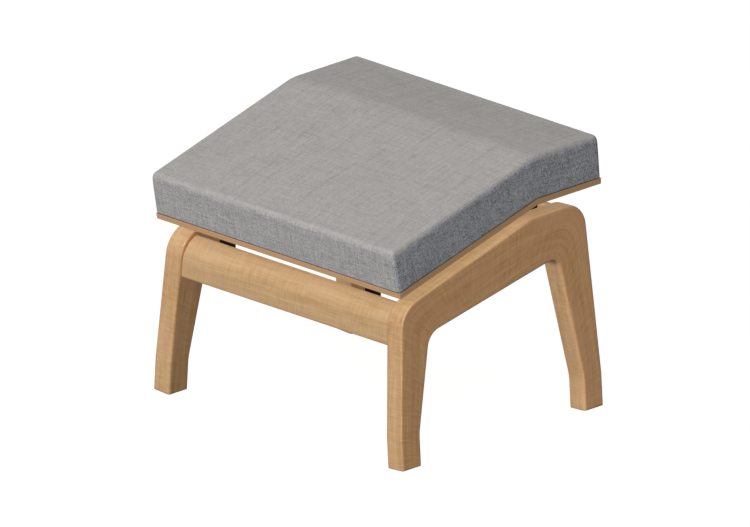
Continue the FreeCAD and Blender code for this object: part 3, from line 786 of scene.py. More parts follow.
@dataclass
class SideFrame:
    """One arched side frame: two legs and a sloping top, made from one piece of wood.

    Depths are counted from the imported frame's front. The front foot stands forward of that by
    the toe. The roundings are given at the marks that the method surface names.
    """

    foot_span_width: float = 0.5293
    foot_span_depth: float = 0.4242
    thickness: float = 0.0328
    tilt: float = math.radians(3.6)
    foot_rise: float = 0.00266
    foot_height: float = 0.0505
    toe: float = 0.0017
    front_foot_depth: float = 0.0388
    rear_foot_depth: float = 0.0396
    front_lean: float = math.tan(math.radians(4.0))
    rear_lean: float = math.tan(math.radians(4.4))
    front_inner_lean: float = math.tan(math.radians(11.2))
    rear_inner_lean: float = math.tan(math.radians(12.2))
    top_height: float = 0.3264
    top_slope: float = math.tan(math.radians(15.35))
    top_kink_depth: float = 0.2935
    arch_front_height: float = 0.1860
    arch_slope: float = math.tan(math.radians(11.0))
    front_outer_radius: float = 0.046
    rear_outer_radius: float = 0.040
    front_inner_radius: float = 0.030
    rear_inner_radius: float = 0.019
    bend_radius: float = 0.090
    plain_round: float = 0.0034
    top_rounds: tuple[float, ...] = (0.0026, 0.0022, 0.0034, 0.0042, 0.0034, 0.0028, 0.0030)
    arch_rounds: tuple[float, ...] = (0.0036, 0.0030, 0.0028, 0.0064, 0.0058, 0.0038)
    rounding_run: float = 0.070
    foot_chamfer: float = 0.0007
    grain_shift: float = 0.35
    # width of the blend between the painted light on a side face and on the top
    painted_light_blend: float = 0.6
    stations: int = 300
    corner_spots: int = 8
    face_spots: int = 8
    wall_spots: int = 15

    def outer_path(self) -> Path:
        """Returns the outside of the arch from the front foot over the top to the rear foot."""
        top_at_front = self.top_height - self.top_slope * self.top_kink_depth
        front_top = (top_at_front - self.top_slope * self.front_lean * self.foot_height) \
            / (1 - self.top_slope * self.front_lean)
        front_edge = (front_top - self.foot_height) * self.front_lean - self.toe
        rear_edge = self.foot_span_depth - (self.top_height - self.foot_height) * self.rear_lean
        return Path.through([
            (-self.toe, 0.0, 0.0),
            (-self.toe, self.foot_height, self.bend_radius),
            (front_edge, front_top, self.front_outer_radius),
            (self.top_kink_depth, self.top_height, self.bend_radius),
            (rear_edge, self.top_height, self.rear_outer_radius),
            (self.foot_span_depth, self.foot_height, self.bend_radius),
            (self.foot_span_depth, 0.0, 0.0),
        ])

    def inner_path(self) -> Path:
        """Returns the inside of the arch from the front foot to the rear foot."""
        lean, arch = self.front_inner_lean, self.arch_slope
        front = (self.arch_front_height + arch * (self.front_foot_depth
                                                  - self.foot_height * lean)) / (1 - arch * lean)
        front_depth = self.front_foot_depth + (front - self.foot_height) * lean
        foot = self.foot_span_depth - self.rear_foot_depth
        lean = self.rear_inner_lean
        rear = (self.arch_front_height + arch * (foot + self.foot_height * lean)) \
            / (1 + arch * lean)
        rear_depth = foot - (rear - self.foot_height) * lean
        return Path.through([
            (self.front_foot_depth, 0.0, 0.0),
            (self.front_foot_depth, self.foot_height, self.bend_radius),
            (front_depth, front, self.front_inner_radius),
            (rear_depth, rear, self.rear_inner_radius),
            (foot, self.foot_height, self.bend_radius),
            (foot, 0.0, 0.0),
        ])

    def matched_lengths(self, outer: Path, inner: Path) -> tuple[np.ndarray, np.ndarray]:
        """Pairs each place on the outside of the arch with the one facing it inside.

        The ends of the corner arcs are paired, and the lengths between them are shared out
        evenly, then eased by a running mean so that no jump shows in the grain.

        Args:
            outer: Outside of the arch.
            inner: Inside of the arch.

        Returns:
            Lengths along the outside and along the inside, one pair for each station.
        """
        outer_marks = [0.0, *outer.arcs[1], *outer.arcs[3], outer.length]
        inner_marks = [0.0, *inner.arcs[1], *inner.arcs[2], inner.length]
        along_outer = np.linspace(0.0, outer.length, self.stations)
        along_inner = np.interp(along_outer, outer_marks, inner_marks)
        reach = 6
        padded = np.pad(along_inner, reach, mode="reflect", reflect_type="odd")
        window = np.ones(2 * reach + 1) / (2 * reach + 1)
        return along_outer, np.convolve(padded, window, mode="valid")

    def surface(self, side: Side) -> Surface:
        """Skins the arch with closed rings.

        A ring runs across the outer face, round a quarter circle, down one side face, round a
        quarter circle, across the inner face and back up the other side. On the side that faces
        away from the seat the circles change in size: the outer ones at the ends, the two
        corners and the bend of the top, the inner ones at the ends, the front corner, the rear
        corner and a run past it. On the other side they stay the same.

        Args:
            side: Which of the two frames.

        Returns:
            The frame's surface in the stool's place.
        """
        outer, inner = self.outer_path(), self.inner_path()
        along_outer, along_inner = self.matched_lengths(outer, inner)
        outside, inside = outer.at(along_outer), inner.at(along_inner)
        into_outer = outer.normals(along_outer)
        into_inner = -inner.normals(along_inner)
        corner_start, corner_end = inner.arcs[2]
        top = eased(along_outer, (0.0, *outer.arcs[1], outer.arcs[2].mean(), *outer.arcs[3],
                                  outer.length), self.top_rounds)
        arch = eased(along_inner, (0.0, inner.arcs[1, 1], corner_start, corner_end,
                                   corner_end + self.rounding_run, inner.length), self.arch_rounds)
        plain = np.full_like(top, self.plain_round)
        half = self.thickness / 2
        quarter = np.linspace(0.0, math.pi / 2, self.corner_spots)
        across = np.linspace(0.0, 1.0, self.face_spots)[1:-1]
        down = np.linspace(0.0, 1.0, self.wall_spots)[1:-1]

        def face(spots: np.ndarray, far: np.ndarray, order: np.ndarray) -> np.ndarray:
            """The outer or inner face, from the plain rounding to the far one.

            Args:
                spots: The path's points.
                far: Rounding on the side away from the seat, at each of them.
                order: Shares of the way across.

            Returns:
                The face's points, ring by ring.
            """
            start, end = plain - half, half - far
            offset = start[:, None] + (end - start)[:, None] * order
            return self.stacked(offset, np.repeat(spots[:, None], len(order), 1))

        def corner(spots: np.ndarray, into: np.ndarray, rounding: np.ndarray, sign: float,
                   angles: np.ndarray) -> np.ndarray:
            """A quarter circle: offset half - r + r sin, depth r - r cos.

            Args:
                spots: The path's points.
                into: Unit vectors from them into the wood.
                rounding: The radius r at each of them.
                sign: 1 away from the seat, -1 towards it.
                angles: Angles along the quarter.

            Returns:
                The corner's points, ring by ring.
            """
            offset = sign * (half - rounding[:, None] * (1 - np.sin(angles)))
            depth = rounding[:, None] * (1 - np.cos(angles))
            return self.stacked(offset, spots[:, None] + into[:, None] * depth[..., None])

        def wall(sign: float, upper: np.ndarray, lower: np.ndarray,
                 shares: np.ndarray) -> np.ndarray:
            """A side face between its two roundings.

            Args:
                sign: 1 away from the seat, -1 towards it.
                upper: Rounding at the outside of the arch.
                lower: Rounding at its inside.
                shares: Shares of the way from outside to inside.

            Returns:
                The side's points, ring by ring.
            """
            start = outside + into_outer * upper[:, None]
            end = inside + into_inner * lower[:, None]
            spots = start[:, None] + (end - start)[:, None] * shares[None, :, None]
            return self.stacked(np.full(spots.shape[:2], sign * half), spots)

        ring = np.concatenate([
            face(outside, top, across),
            corner(outside, into_outer, top, 1.0, quarter),
            wall(1.0, top, arch, down),
            corner(inside, into_inner, arch, 1.0, quarter[::-1]),
            face(inside, arch, across[::-1]),
            corner(inside, into_inner, plain, -1.0, quarter),
            wall(-1.0, plain, plain, down[::-1]),
            corner(outside, into_outer, plain, -1.0, quarter[::-1]),
        ], 1)
        columns = ring.shape[1]
        middle = (outside + inside) / 2
        width = np.linalg.norm(outside - inside, axis=1)
        towards = (outside - inside) / width[:, None]
        rise = np.einsum("ijk,ik->ij", ring[:, :, 1:] - middle[:, None], towards)
        travel = np.repeat((along_outer + along_inner)[:, None] / 2, columns, 1)
        grain = np.stack([travel, rise, ring[:, :, 0] + self.grain_shift * side.value], -1)
        # painted light and shade on the wood: shares of the top, the outward side and the inward
        # side
        crown = eased(along_outer, (*outer.arcs[1], *outer.arcs[3]), (0.0, 1.0, 1.0, 0.0))
        painted_light = self.painted_light(ring[:, :, 0], rise, width, crown)

        ring, grain = self.with_foot_chamfers(ring, grain)
        rows = len(ring)
        points = np.concatenate([ring.reshape(-1, 3), ring[[0, -1]].mean(1)])
        grains = np.concatenate([grain.reshape(-1, 3), grain[[0, -1]].mean(1)])
        painted_light = np.concatenate([painted_light[:1], painted_light, painted_light[-1:]]).reshape(-1, 3)
        painted_lights = np.concatenate([painted_light, np.zeros((2, 3))])
        quads = grid_quads(rows, columns, closed=True)
        first = np.arange(columns)
        ends = np.concatenate([fan(first, rows * columns, False),
                               fan(first + (rows - 1) * columns, rows * columns + 1, True)])
        if side is Side.LEFT:
            quads, ends = quads[:, ::-1], ends[:, ::-1]
        placed = self.placed(points, side)
        return Surface(placed, quads.tolist() + ends.tolist(),
                       {"grain": grains, "painted_light": painted_lights})

    def painted_light(self, offset: np.ndarray, rise: np.ndarray, width: np.ndarray,
             crown: np.ndarray) -> np.ndarray:
        """How far each point belongs to the outward side, the top and the inward side, whose
        colours carry painted light and shade.

        A point belongs to a side face as far as it lies deeper from the arch's outside or
        inside than from that face, both counted in roundings.

        Args:
            offset: Offset of each point from the mid plane.
            rise: Its distance from the arch's middle line, towards the outside.
            width: The arch's width at each ring.
            crown: How far each ring belongs to the top.

        Returns:
            The three shares of each point.
        """
        aside = (self.thickness / 2 - np.abs(offset)) / self.plain_round
        depth = np.minimum(width[:, None] / 2 - np.abs(rise), self.plain_round)
        flank = smooth_step(depth / self.plain_round - aside, -self.painted_light_blend, self.painted_light_blend)
        outward = offset > 0
        return np.stack([flank * outward, crown[:, None] * (1 - flank) * (rise > 0),
                         flank * ~outward], -1)

    @staticmethod
    def stacked(offset: np.ndarray, spots: np.ndarray) -> np.ndarray:
        """Returns points from offsets from the mid plane and places in it."""
        return np.concatenate([offset[..., None], spots], -1)

    def with_foot_chamfers(self, ring: np.ndarray,
                           grain: np.ndarray) -> tuple[np.ndarray, np.ndarray]:
        """Adds a small chamfer under each foot.

        Args:
            ring: Rings along the arch, in the frame's own plane.
            grain: Their grain vectors.

        Returns:
            Both with one more ring at each end, drawn in by the chamfer, and with the old end
            rings raised by it.
        """
        ends = ring[[0, -1]].copy()
        centre = ends.mean(1, keepdims=True)
        reach = np.abs(ends - centre)
        reach[:, :, 2] = 1.0
        ends -= np.sign(ends - centre) * np.minimum(self.foot_chamfer, reach) * [1, 1, 0]
        raised = ring.copy()
        raised[[0, -1], :, 2] += self.foot_chamfer
        rings = np.concatenate([ends[:1], raised, ends[1:]])
        return rings, np.concatenate([grain[:1], grain, grain[-1:]])

    def placed(self, points: np.ndarray, side: Side) -> np.ndarray:
        """Leans the frame in towards its top and stands it in its place.

        Args:
            points: Points as (offset from the mid plane, depth, height).
            side: Which of the two frames.

        Returns:
            Points in the stool's frame.
        """
        inward = points[:, 0] - self.thickness / 2
        cosine, sine = math.cos(self.tilt), math.sin(self.tilt)
        x = self.foot_span_width / 2 + inward * cosine - points[:, 2] * sine
        z = self.foot_rise + inward * sine + points[:, 2] * cosine
        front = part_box("right_side_frame")[0].y
        return np.stack([side.value * x, points[:, 1] + front, z], -1)

    def inner_face(self, height: np.ndarray) -> np.ndarray:
        """Returns X of the right frame's inner face at heights above the floor."""
        return self.foot_span_width / 2 - (height - self.foot_rise) * math.tan(self.tilt) \
            - self.thickness / math.cos(self.tilt)

    def build(self, wood: bpy.types.Material) -> list[bpy.types.Object]:
        """Makes both frames.

        Args:
            wood: Their finish.

        Returns:
            The two pieces.
        """
        made = []
        for side in Side:
            word = side.name.lower()
            piece = self.surface(side).to_object(f"{word}_arch", wood)
            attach(piece, "stand")
            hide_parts(f"{word}_side_frame")
            made.append(piece)
        return made


# Rails between the frames

@dataclass
class Rail:
    """A wooden rail whose section is carried from one side frame to the other."""

    name: str
    node: str
    section: Sequence[Corner]
    frame: SideFrame
    grain_shift: float
    columns: int = 120
    pitch: float = 0.0011
    sample: float = 0.0002

    def surface(self) -> Surface:
        """Skins the rail.

        The section is a closed outline in depth and height. Each of its points is drawn
        across from the left frame's inner face to the right one's, which lean inwards.

        Returns:
            The rail's surface.
        """
        start = (np.array(self.section[0][:2]) + np.array(self.section[-1][:2])) / 2
        corners = [(*start, 0.0), *self.section, (*start, 0.0)]
        path = Path.through(corners, self.sample)
        spots = path.at(np.arange(0.0, path.length - 2 * self.sample, self.pitch))
        reach = self.frame.inner_face(spots[:, 1])
        shares = np.linspace(-1.0, 1.0, self.columns)
        x = shares[:, None] * reach[None, :]
        yz = np.repeat(spots[None], self.columns, 0)
        grid = np.concatenate([x[..., None], yz], -1)
        rim = len(spots)
        hubs = grid[[0, -1]].mean(1)
        points = np.concatenate([grid.reshape(-1, 3), hubs])
        grain = points + np.array([self.grain_shift, 0.0, 0.0])
        first = np.arange(rim)
        quads = grid_quads(self.columns, rim, closed=True)[:, ::-1]
        ends = np.concatenate([fan(first, self.columns * rim, True),
                               fan(first + (self.columns - 1) * rim,
                                   self.columns * rim + 1, False)])
        return Surface(points, quads.tolist() + ends.tolist(), {"grain": grain})

    def build(self, wood: bpy.types.Material) -> bpy.types.Object:
        """Makes the rail.

        Args:
            wood: Its finish.

        Returns:
            The piece.
        """
        piece = self.surface().to_object(self.name, wood)
        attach(piece, "stand")
        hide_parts(self.node)
        return piece


@dataclass
class Rails:
    """The two rails, from the boxes of their nodes.

    The front rail's underside lies lower than its box by the drop. Its front face is upright
    up to the shoulder, and from there it rounds off to the crest.
    """

    frame: SideFrame
    edge: float = 0.002
    shoulder: float = 0.0214
    crest_radius: float = 0.040
    crest_edge: float = 0.0009
    drop: float = 0.0011
    rear_round: float = 0.014

    def front(self) -> Rail:
        """The front rail, whose crest ends just short of its rear face.

        Returns:
            The rail.
        """
        low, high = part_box("front_rail")
        lip = 1.2 * self.crest_edge
        level = high.y - lip - low.y - self.crest_radius
        turn = math.acos(-level / self.crest_radius)
        shoulder = low.z + self.shoulder
        corner = shoulder + self.crest_radius * math.tan(turn / 2)
        crest = shoulder + self.crest_radius * math.sin(turn) + lip / math.tan(turn)
        section = [(high.y, low.z - self.drop, self.edge), (low.y, low.z - self.drop, self.edge),
                   (low.y, corner, self.crest_radius), (high.y, crest, self.crest_edge)]
        return Rail("front_rail_wood", "front_rail", section, self.frame, 0.9)

    def rear(self) -> Rail:
        """The rear rail, rounded at its upper rear edge.

        Returns:
            The rail.
        """
        low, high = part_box("rear_rail")
        section = [(low.y, high.z, self.edge), (high.y, high.z, self.rear_round),
                   (high.y, low.z, self.edge), (low.y, low.z, self.edge)]
        return Rail("rear_rail_wood", "rear_rail", section, self.frame, 1.9)


# Slabs that follow the seat's bend

@dataclass
class SeatLine:
    """The bent line of the board's top face: a slope, an arc and a level run."""

    slope: float = math.radians(15.0)
    bend_radius: float = 0.024
    kink_depth: float = 0.2904
    height: float = 0.36275
    front_overhang: float = 0.0001
    thickness: float = 0.0096

    def __post_init__(self) -> None:
        """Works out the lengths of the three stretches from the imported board."""
        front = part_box("right_side_frame")[0].y
        self.kink = self.kink_depth + front
        self.tangent = self.bend_radius * math.tan(self.slope / 2)
        run = (self.kink_depth + self.front_overhang
               + self.thickness * math.sin(self.slope)) / math.cos(self.slope)
        self.slope_length = run - self.tangent
        self.bend_length = self.bend_radius * self.slope
        self.level_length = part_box("seat_board")[1].y - self.kink - self.tangent

    @property
    def length(self) -> float:
        """Length of the whole line."""
        return self.slope_length + self.bend_length + self.level_length

    def place(self, x: np.ndarray, along: np.ndarray, above: np.ndarray) -> np.ndarray:
        """Bends a flat slab onto the seat.

        Before the bend a point lies on the slope, after it on the level, and between them it
        turns about the bend's centre, which lies one bend radius below the line.

        Args:
            x: Place across.
            along: Length from the board's front edge.
            above: Height above the line, square to it.

        Returns:
            Points in the stool's frame.
        """
        past = along - self.slope_length
        turn = np.clip(past / self.bend_length, 0.0, 1.0) * self.slope
        lean = self.slope - turn
        centre_y = self.kink + self.tangent
        centre_z = self.height - self.bend_radius
        reach = self.bend_radius + above
        straight = np.minimum(past, 0.0) + np.maximum(past - self.bend_length, 0.0)
        y = centre_y - reach * np.sin(lean) + straight * np.cos(lean)
        z = centre_z + reach * np.cos(lean) + straight * np.sin(lean)
        return np.stack([x, y, z], -1)

    def travel(self, along: np.ndarray, above: np.ndarray) -> np.ndarray:
        """Length along a line that lies above the board's, which is longer in the bend."""
        past = np.clip(along - self.slope_length, 0.0, self.bend_length)
        return along + past * above / self.bend_radius


def fine_steps(low: float, high: float, near: Sequence[float], pitch: float,
               dense: tuple[float, float, int] | None = None) -> np.ndarray:
    """Stations from low to high, close together at both ends.

    Args:
        low: First station.
        high: Last station.
        near: Distances of the close stations from each end.
        pitch: Greatest distance between the others.
        dense: Start and end of a stretch inside, and its number of steps.

    Returns:
        The stations in rising order.
    """
    start, end = low + near[-1], high - near[-1]
    if dense is None:
        inner = np.linspace(start, end, int((end - start) / pitch) + 2)
    else:
        before = np.linspace(start, dense[0], int((dense[0] - start) / pitch) + 2)
        within = np.linspace(dense[0], dense[1], dense[2] + 1)
        after = np.linspace(dense[1], end, int((end - dense[1]) / pitch) + 2)
        inner = np.concatenate([before[:-1], within[:-1], after])
    close = np.array(near[:-1])
    return np.concatenate([low + close, inner, high - close[::-1]])


@dataclass
class LatticeSkin:
    """The skin of a block of lattice points: six faces that share their edges."""

    points: np.ndarray
    quads: np.ndarray
    panels: np.ndarray

    @classmethod
    def of(cls, stations: Sequence[np.ndarray]) -> LatticeSkin:
        """Keeps the lattice points on the block's outside and joins them with quads.

        Args:
            stations: Stations along the three axes.

        Returns:
            The skin. Panels are numbered 2 * axis for the low face and 2 * axis + 1 for the
            high one.
        """
        counts = [len(one) for one in stations]
        index = np.indices(counts).reshape(3, -1).T
        outside = np.any((index == 0) | (index == np.array(counts) - 1), 1)
        number = np.full(len(index), -1)
        number[outside] = np.arange(int(outside.sum()))
        number = number.reshape(counts)
        kept = index[outside]
        points = np.stack([stations[k][kept[:, k]] for k in range(3)], -1)
        quads, panels = [], []
        for axis in range(3):
            for end in (0, -1):
                layer = np.take(number, end, axis=axis)
                flat = np.stack([layer[:-1, :-1], layer[1:, :-1],
                                 layer[1:, 1:], layer[:-1, 1:]], -1).reshape(-1, 4)
                turned = (end == 0) == (axis != 1)
                quads.append(flat[:, ::-1] if turned else flat)
                panels.append(np.full(len(flat), 2 * axis + (end == -1)))
        return cls(points, np.concatenate(quads), np.concatenate(panels))

    def rounded(self, low: np.ndarray, high: np.ndarray, low_radius: np.ndarray,
                high_radius: np.ndarray) -> np.ndarray:
        """Rounds the block's edges and corners.

        Inside a margin as wide as the radius, a point's offset from the margin's inner edge is
        divided by the radius, moved from the unit square onto the unit circle (multiplied by
        its largest part over its length), and multiplied by the radius again.

        Args:
            low: The block's low corner.
            high: Its high corner.
            low_radius: Radii at the low faces, for each point and axis.
            high_radius: Radii at the high faces.

        Returns:
            The moved points.
        """
        inner = np.clip(self.points, low + low_radius, high - high_radius)
        offset = self.points - inner
        radius = np.where(offset < 0, low_radius, high_radius)
        share = offset / radius
        largest = np.abs(share).max(1)
        length = np.linalg.norm(share, axis=1)
        pull = np.where(length > 0, largest / np.maximum(length, TINY), 1.0)
        return inner + share * pull[:, None] * radius


@dataclass
class SeatBoard:
    """The bent plywood board under the cushion."""

    line: SeatLine
    edge_round: float = 0.0002
    pitch: float = 0.006
    bend_steps: int = 8
    depth_steps: int = 14

    def build(self, ply: bpy.types.Material) -> bpy.types.Object:
        """Makes the board.

        Args:
            ply: Its finish.

        Returns:
            The piece.
        """
        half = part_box("seat_board")[1].x
        radius = self.edge_round
        near = (0.0, radius * 0.3, radius)
        line = self.line
        bend = (line.slope_length, line.slope_length + line.bend_length, self.bend_steps)
        skin = LatticeSkin.of([
            fine_steps(-half, half, near, self.pitch),
            fine_steps(0.0, line.length, near, self.pitch, bend),
            fine_steps(-line.thickness, 0.0, near, line.thickness / self.depth_steps),
        ])
        low = np.array([-half, 0.0, -line.thickness])
        high = np.array([half, line.length, 0.0])
        radii = np.full_like(skin.points, radius)
        flat = skin.rounded(low, high, radii, radii)
        margin = np.minimum(flat - low, high - flat)[:, :2].min(1)
        rim = 1.0 - smooth_step(margin, radius * 0.2, radius * 0.9)
        grain = np.stack([flat[:, 0], flat[:, 1], -flat[:, 2]], -1)
        surface = Surface(line.place(*flat.T), skin.quads.tolist(),
                          {"grain": grain, "rim": np.repeat(rim[:, None], 3, 1)})
        piece = surface.to_object("seat_board_ply", ply)
        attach(piece, "seat")
        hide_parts("seat_board")
        return piece


CLOTH = {"quality": 5, "mass": 0.35, "tension_stiffness": 40.0, "compression_stiffness": 40.0,
         "shear_stiffness": 20.0, "bending_stiffness": 6.0, "use_pressure": True}


@dataclass
class Cushion:
    """The upholstered cushion: a tight woven cover over foam, boxed, with no piping.

    The cover's lower edge laps over the board's upper edge, so no bare strip of the board shows
    round it. The borders spread a little towards the bottom. Along their bottom the cover's finish
    paints a dark band of shade, for the shadow in the gap above the board.
    """

    line: SeatLine
    thickness: float = 0.0694
    side_inset: float = 0.0008
    front_inset: float = 0.0029
    rear_inset: float = 0.0032
    top_round: float = 0.0110
    corner_round: float = 0.0052
    top_corner_round: float = 0.0074
    bottom_round: float = 0.0003
    lap: float = 0.0005
    slack: float = 0.0004
    spread: tuple[float, float] = (0.0017, 0.0034)
    spread_reach: float = 0.05
    # height of the band of painted shade along the cover's bottom edge
    gap_shade_band: float = 0.0023
    seated_height: float = 0.004
    pitch: float = 0.0062
    near: tuple[float, ...] = (0.0, 0.0004, 0.0014, 0.0030, 0.0052, 0.0080)
    bend_margin: float = 0.002
    bend_steps: int = 9
    cap: float = 0.0024
    sim_frames: int = 20
    pressure: float = 4.0

    def block(self) -> tuple[np.ndarray, np.ndarray]:
        """Returns the low and high corner of the flat cushion, drawn in by the slack."""
        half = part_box("seat_board")[1].x - self.side_inset - self.slack
        low = np.array([-half, self.front_inset + self.slack, -self.lap])
        high = np.array([half, self.line.length - self.rear_inset - self.slack,
                         self.thickness - self.slack])
        return low, high

    def skin(self) -> LatticeSkin:
        """Returns the lattice that becomes the cover."""
        low, high = self.block()
        line = self.line
        near = (*self.near, self.top_round)
        bend = (line.slope_length - self.bend_margin,
                line.slope_length + line.bend_length + self.bend_margin, self.bend_steps)
        return LatticeSkin.of([
            fine_steps(low[0], high[0], near, self.pitch),
            fine_steps(low[1], high[1], near, self.pitch, bend),
            fine_steps(low[2], high[2], near, self.pitch * 0.9),
        ])

    def flat_form(self, skin: LatticeSkin) -> np.ndarray:
        """Rounds the block as a sewn cover does.

        The upright corners have a small radius that widens a little towards the top edge. Near
        the borders the points move outwards, the more the lower they lie.

        Args:
            skin: The cover's lattice.

        Returns:
            Points of the cushion before it is bent onto the board.
        """
        low, high = self.block()
        rise = smooth_step(skin.points[:, 2], high[2] - 3 * self.top_round, high[2])
        side = self.corner_round + (self.top_corner_round - self.corner_round) * rise
        low_radius = np.stack([side, side, np.full_like(side, self.bottom_round)], -1)
        high_radius = np.stack([side, side, np.full_like(side, self.top_round)], -1)
        flat = skin.rounded(low, high, low_radius, high_radius)
        middle, half = (low + high)[:2] / 2, (high - low)[:2] / 2
        share = (flat[:, :2] - middle) / half
        outer = np.sign(share) * smooth_step(np.abs(share) * half, half - self.spread_reach,
                                             half)
        flat[:, :2] += np.array(self.spread) * outer * (1.0 - flat[:, 2:] / high[2])
        return flat

    def border_share(self, flat: np.ndarray) -> np.ndarray:
        """How far each point belongs to the side borders: 1 at the sides, less at the front.

        Args:
            flat: Points of the cushion before it is bent.

        Returns:
            The share from 0 on the top to 1 on the side borders.
        """
        low, high = self.block()
        below = smooth_step(high[2] - flat[:, 2], 0.15 * self.top_round, 0.75 * self.top_round)
        across = np.minimum(flat[:, 0] - low[0], high[0] - flat[:, 0])
        at_side = 1.0 - smooth_step(across, 0.001, 0.008)
        return below * (0.5 + 0.5 * at_side)

    def weave_map(self, mesh: bpy.types.Mesh, skin: LatticeSkin) -> None:
        """Lays the weave flat on each panel, in metres.

        The top and the underside take (across, length along them), the side borders (length
        along, height) and the front and rear borders (across, height).

        Args:
            mesh: The cover's mesh.
            skin: Its lattice, whose quads are the mesh's faces.
        """
        x, along, above = skin.points.T
        travel = self.line.travel(along, above)
        choices = {0: (travel, above), 1: (travel, above), 2: (x, above),
                   3: (x, above), 4: (x, travel), 5: (x, travel)}
        loops = np.zeros(len(mesh.loops), np.int32)
        mesh.loops.foreach_get("vertex_index", loops)
        panels = np.repeat(skin.panels, 4)
        uv = np.zeros((len(loops), 2))
        for panel, (u, v) in choices.items():
            chosen = panels == panel
            uv[chosen] = np.stack([u[loops[chosen]], v[loops[chosen]]], -1) + 0.611 * panel
        layer = mesh.uv_layers.new(name="weave")
        layer.data.foreach_set("uv", uv.astype(np.float32).ravel())

    def give(self, flat: np.ndarray) -> np.ndarray:
        """How far the foam lets the cover swell: free on the top, less on the borders.

        Args:
            flat: Points of the cushion before it is bent.

        Returns:
            The share from 0 at the edges to 1 in the middle of the top.
        """
        low, high = self.block()
        inward = np.minimum(flat - low, high - flat)[:, :2].min(1)
        top = smooth_step(inward, 0.006, 0.090)
        border = 0.08 * smooth_step(high[2] - flat[:, 2], 0.010, 0.032)
        return np.maximum(top, border)

    def puff(self, piece: bpy.types.Object, give: np.ndarray) -> None:
        """Fills the cover: pressed out as cloth for a few frames, then held to the cap.

        Args:
            piece: The cover, whose underside stays on the board.
            give: Share of the swelling that each point keeps.
        """
        mesh = piece.data
        start = np.zeros(len(mesh.vertices) * 3, np.float32)
        mesh.vertices.foreach_get("co", start)
        start = start.reshape(-1, 3)
        modifier = piece.modifiers.new("cover", "CLOTH")
        cloth = modifier.settings
        for key, value in CLOTH.items():
            setattr(cloth, key, value)
        cloth.uniform_pressure_force = self.pressure
        cloth.effector_weights.gravity = 0.0
        cloth.vertex_group_mass = "seated"
        modifier.collision_settings.use_collision = False
        modifier.collision_settings.use_self_collision = False
        scene = bpy.context.scene
        for frame in range(1, self.sim_frames + 1):
            scene.frame_set(frame)
        shown = piece.evaluated_get(bpy.context.evaluated_depsgraph_get())
        puffed = np.zeros(len(start) * 3, np.float32)
        shown.data.vertices.foreach_get("co", puffed)
        piece.modifiers.remove(modifier)
        scene.frame_set(1)
        move = puffed.reshape(-1, 3) - start
        reach = np.linalg.norm(move, axis=1, keepdims=True)
        LOG.info("cushion puffs %.1f mm before the cap", 1000 * float(reach.max()))
        held = self.cap * np.tanh(reach / self.cap) * give[:, None]
        move *= np.where(reach > 0, held / np.maximum(reach, TINY), 0.0)
        mesh.vertices.foreach_set("co", (start + move).astype(np.float32).ravel())
        mesh.update()

    def build(self, fabric: bpy.types.Material) -> bpy.types.Object:
        """Makes the cushion.

        Args:
            fabric: The cover's finish.

        Returns:
            The piece.
        """
        skin = self.skin()
        flat = self.flat_form(skin)
        border = self.border_share(flat)
        # painted shade: a dark band along the bottom edge, for the shadow in the gap above the
        # board
        gap_shade_band = 1.0 - smooth_step(flat[:, 2], 0.6 * self.gap_shade_band, self.gap_shade_band)
        marks = np.stack([border, gap_shade_band, np.zeros_like(gap_shade_band)], -1)
        surface = Surface(self.line.place(*flat.T), skin.quads.tolist(), {"border": marks})
        piece = surface.to_object("cushion", fabric, math.pi)
        self.weave_map(piece.data, skin)
        seated = piece.vertex_groups.new(name="seated")
        low = skin.points[:, 2] < self.block()[0][2] + self.seated_height
        seated.add(np.flatnonzero(low).tolist(), 1.0, "REPLACE")
        self.puff(piece, self.give(flat))
        smooth = piece.modifiers.new("round", "SUBSURF")
        smooth.levels = smooth.render_levels = 1
        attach(piece, "seat")
        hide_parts("cushion_cover", "cushion_foam", "cushion_panel", "cushion_tee_nuts")
        return piece


# Ironwork

@dataclass
class Ironwork:
    """The glide mechanism and its fasteners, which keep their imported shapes."""

    def build(self, nodes: dict[str, bpy.types.Object]) -> int:
        """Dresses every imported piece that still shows.

        Args:
            nodes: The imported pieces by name.

        Returns:
            How many pieces were dressed.
        """
        black = Coating("black_steel", (0.0022, 0.0022, 0.0025), 0.5, 1500.0, 0.00004).material()
        zinc = Metal("zinc_steel", (0.62, 0.62, 0.63)).material()
        bronze = Metal("bronze", (0.52, 0.34, 0.17), 0.42, 2500.0).material()
        rubber = Coating("stop_rubber", (0.016, 0.016, 0.016), 0.78, 900.0, 0.00008).material()
        nylon = Coating("glide_nylon", (0.16, 0.12, 0.09), 0.55, 700.0, 0.00004).material()
        words = {"hanger": black, "carriage": black, "cross_tube": black, "_link": black,
                 "stops": rubber, "glides": nylon, "bushings": bronze}
        count = 0
        for name, node in nodes.items():
            if node.hide_render:
                continue
            finish = zinc
            for word, material in words.items():
                if word in name:
                    finish = material
            if name in ("hanger_screws", "swing_stop_pins"):
                finish = zinc
            for slot in node.material_slots:
                slot.material = finish
            count += 1
        return count


# Studio

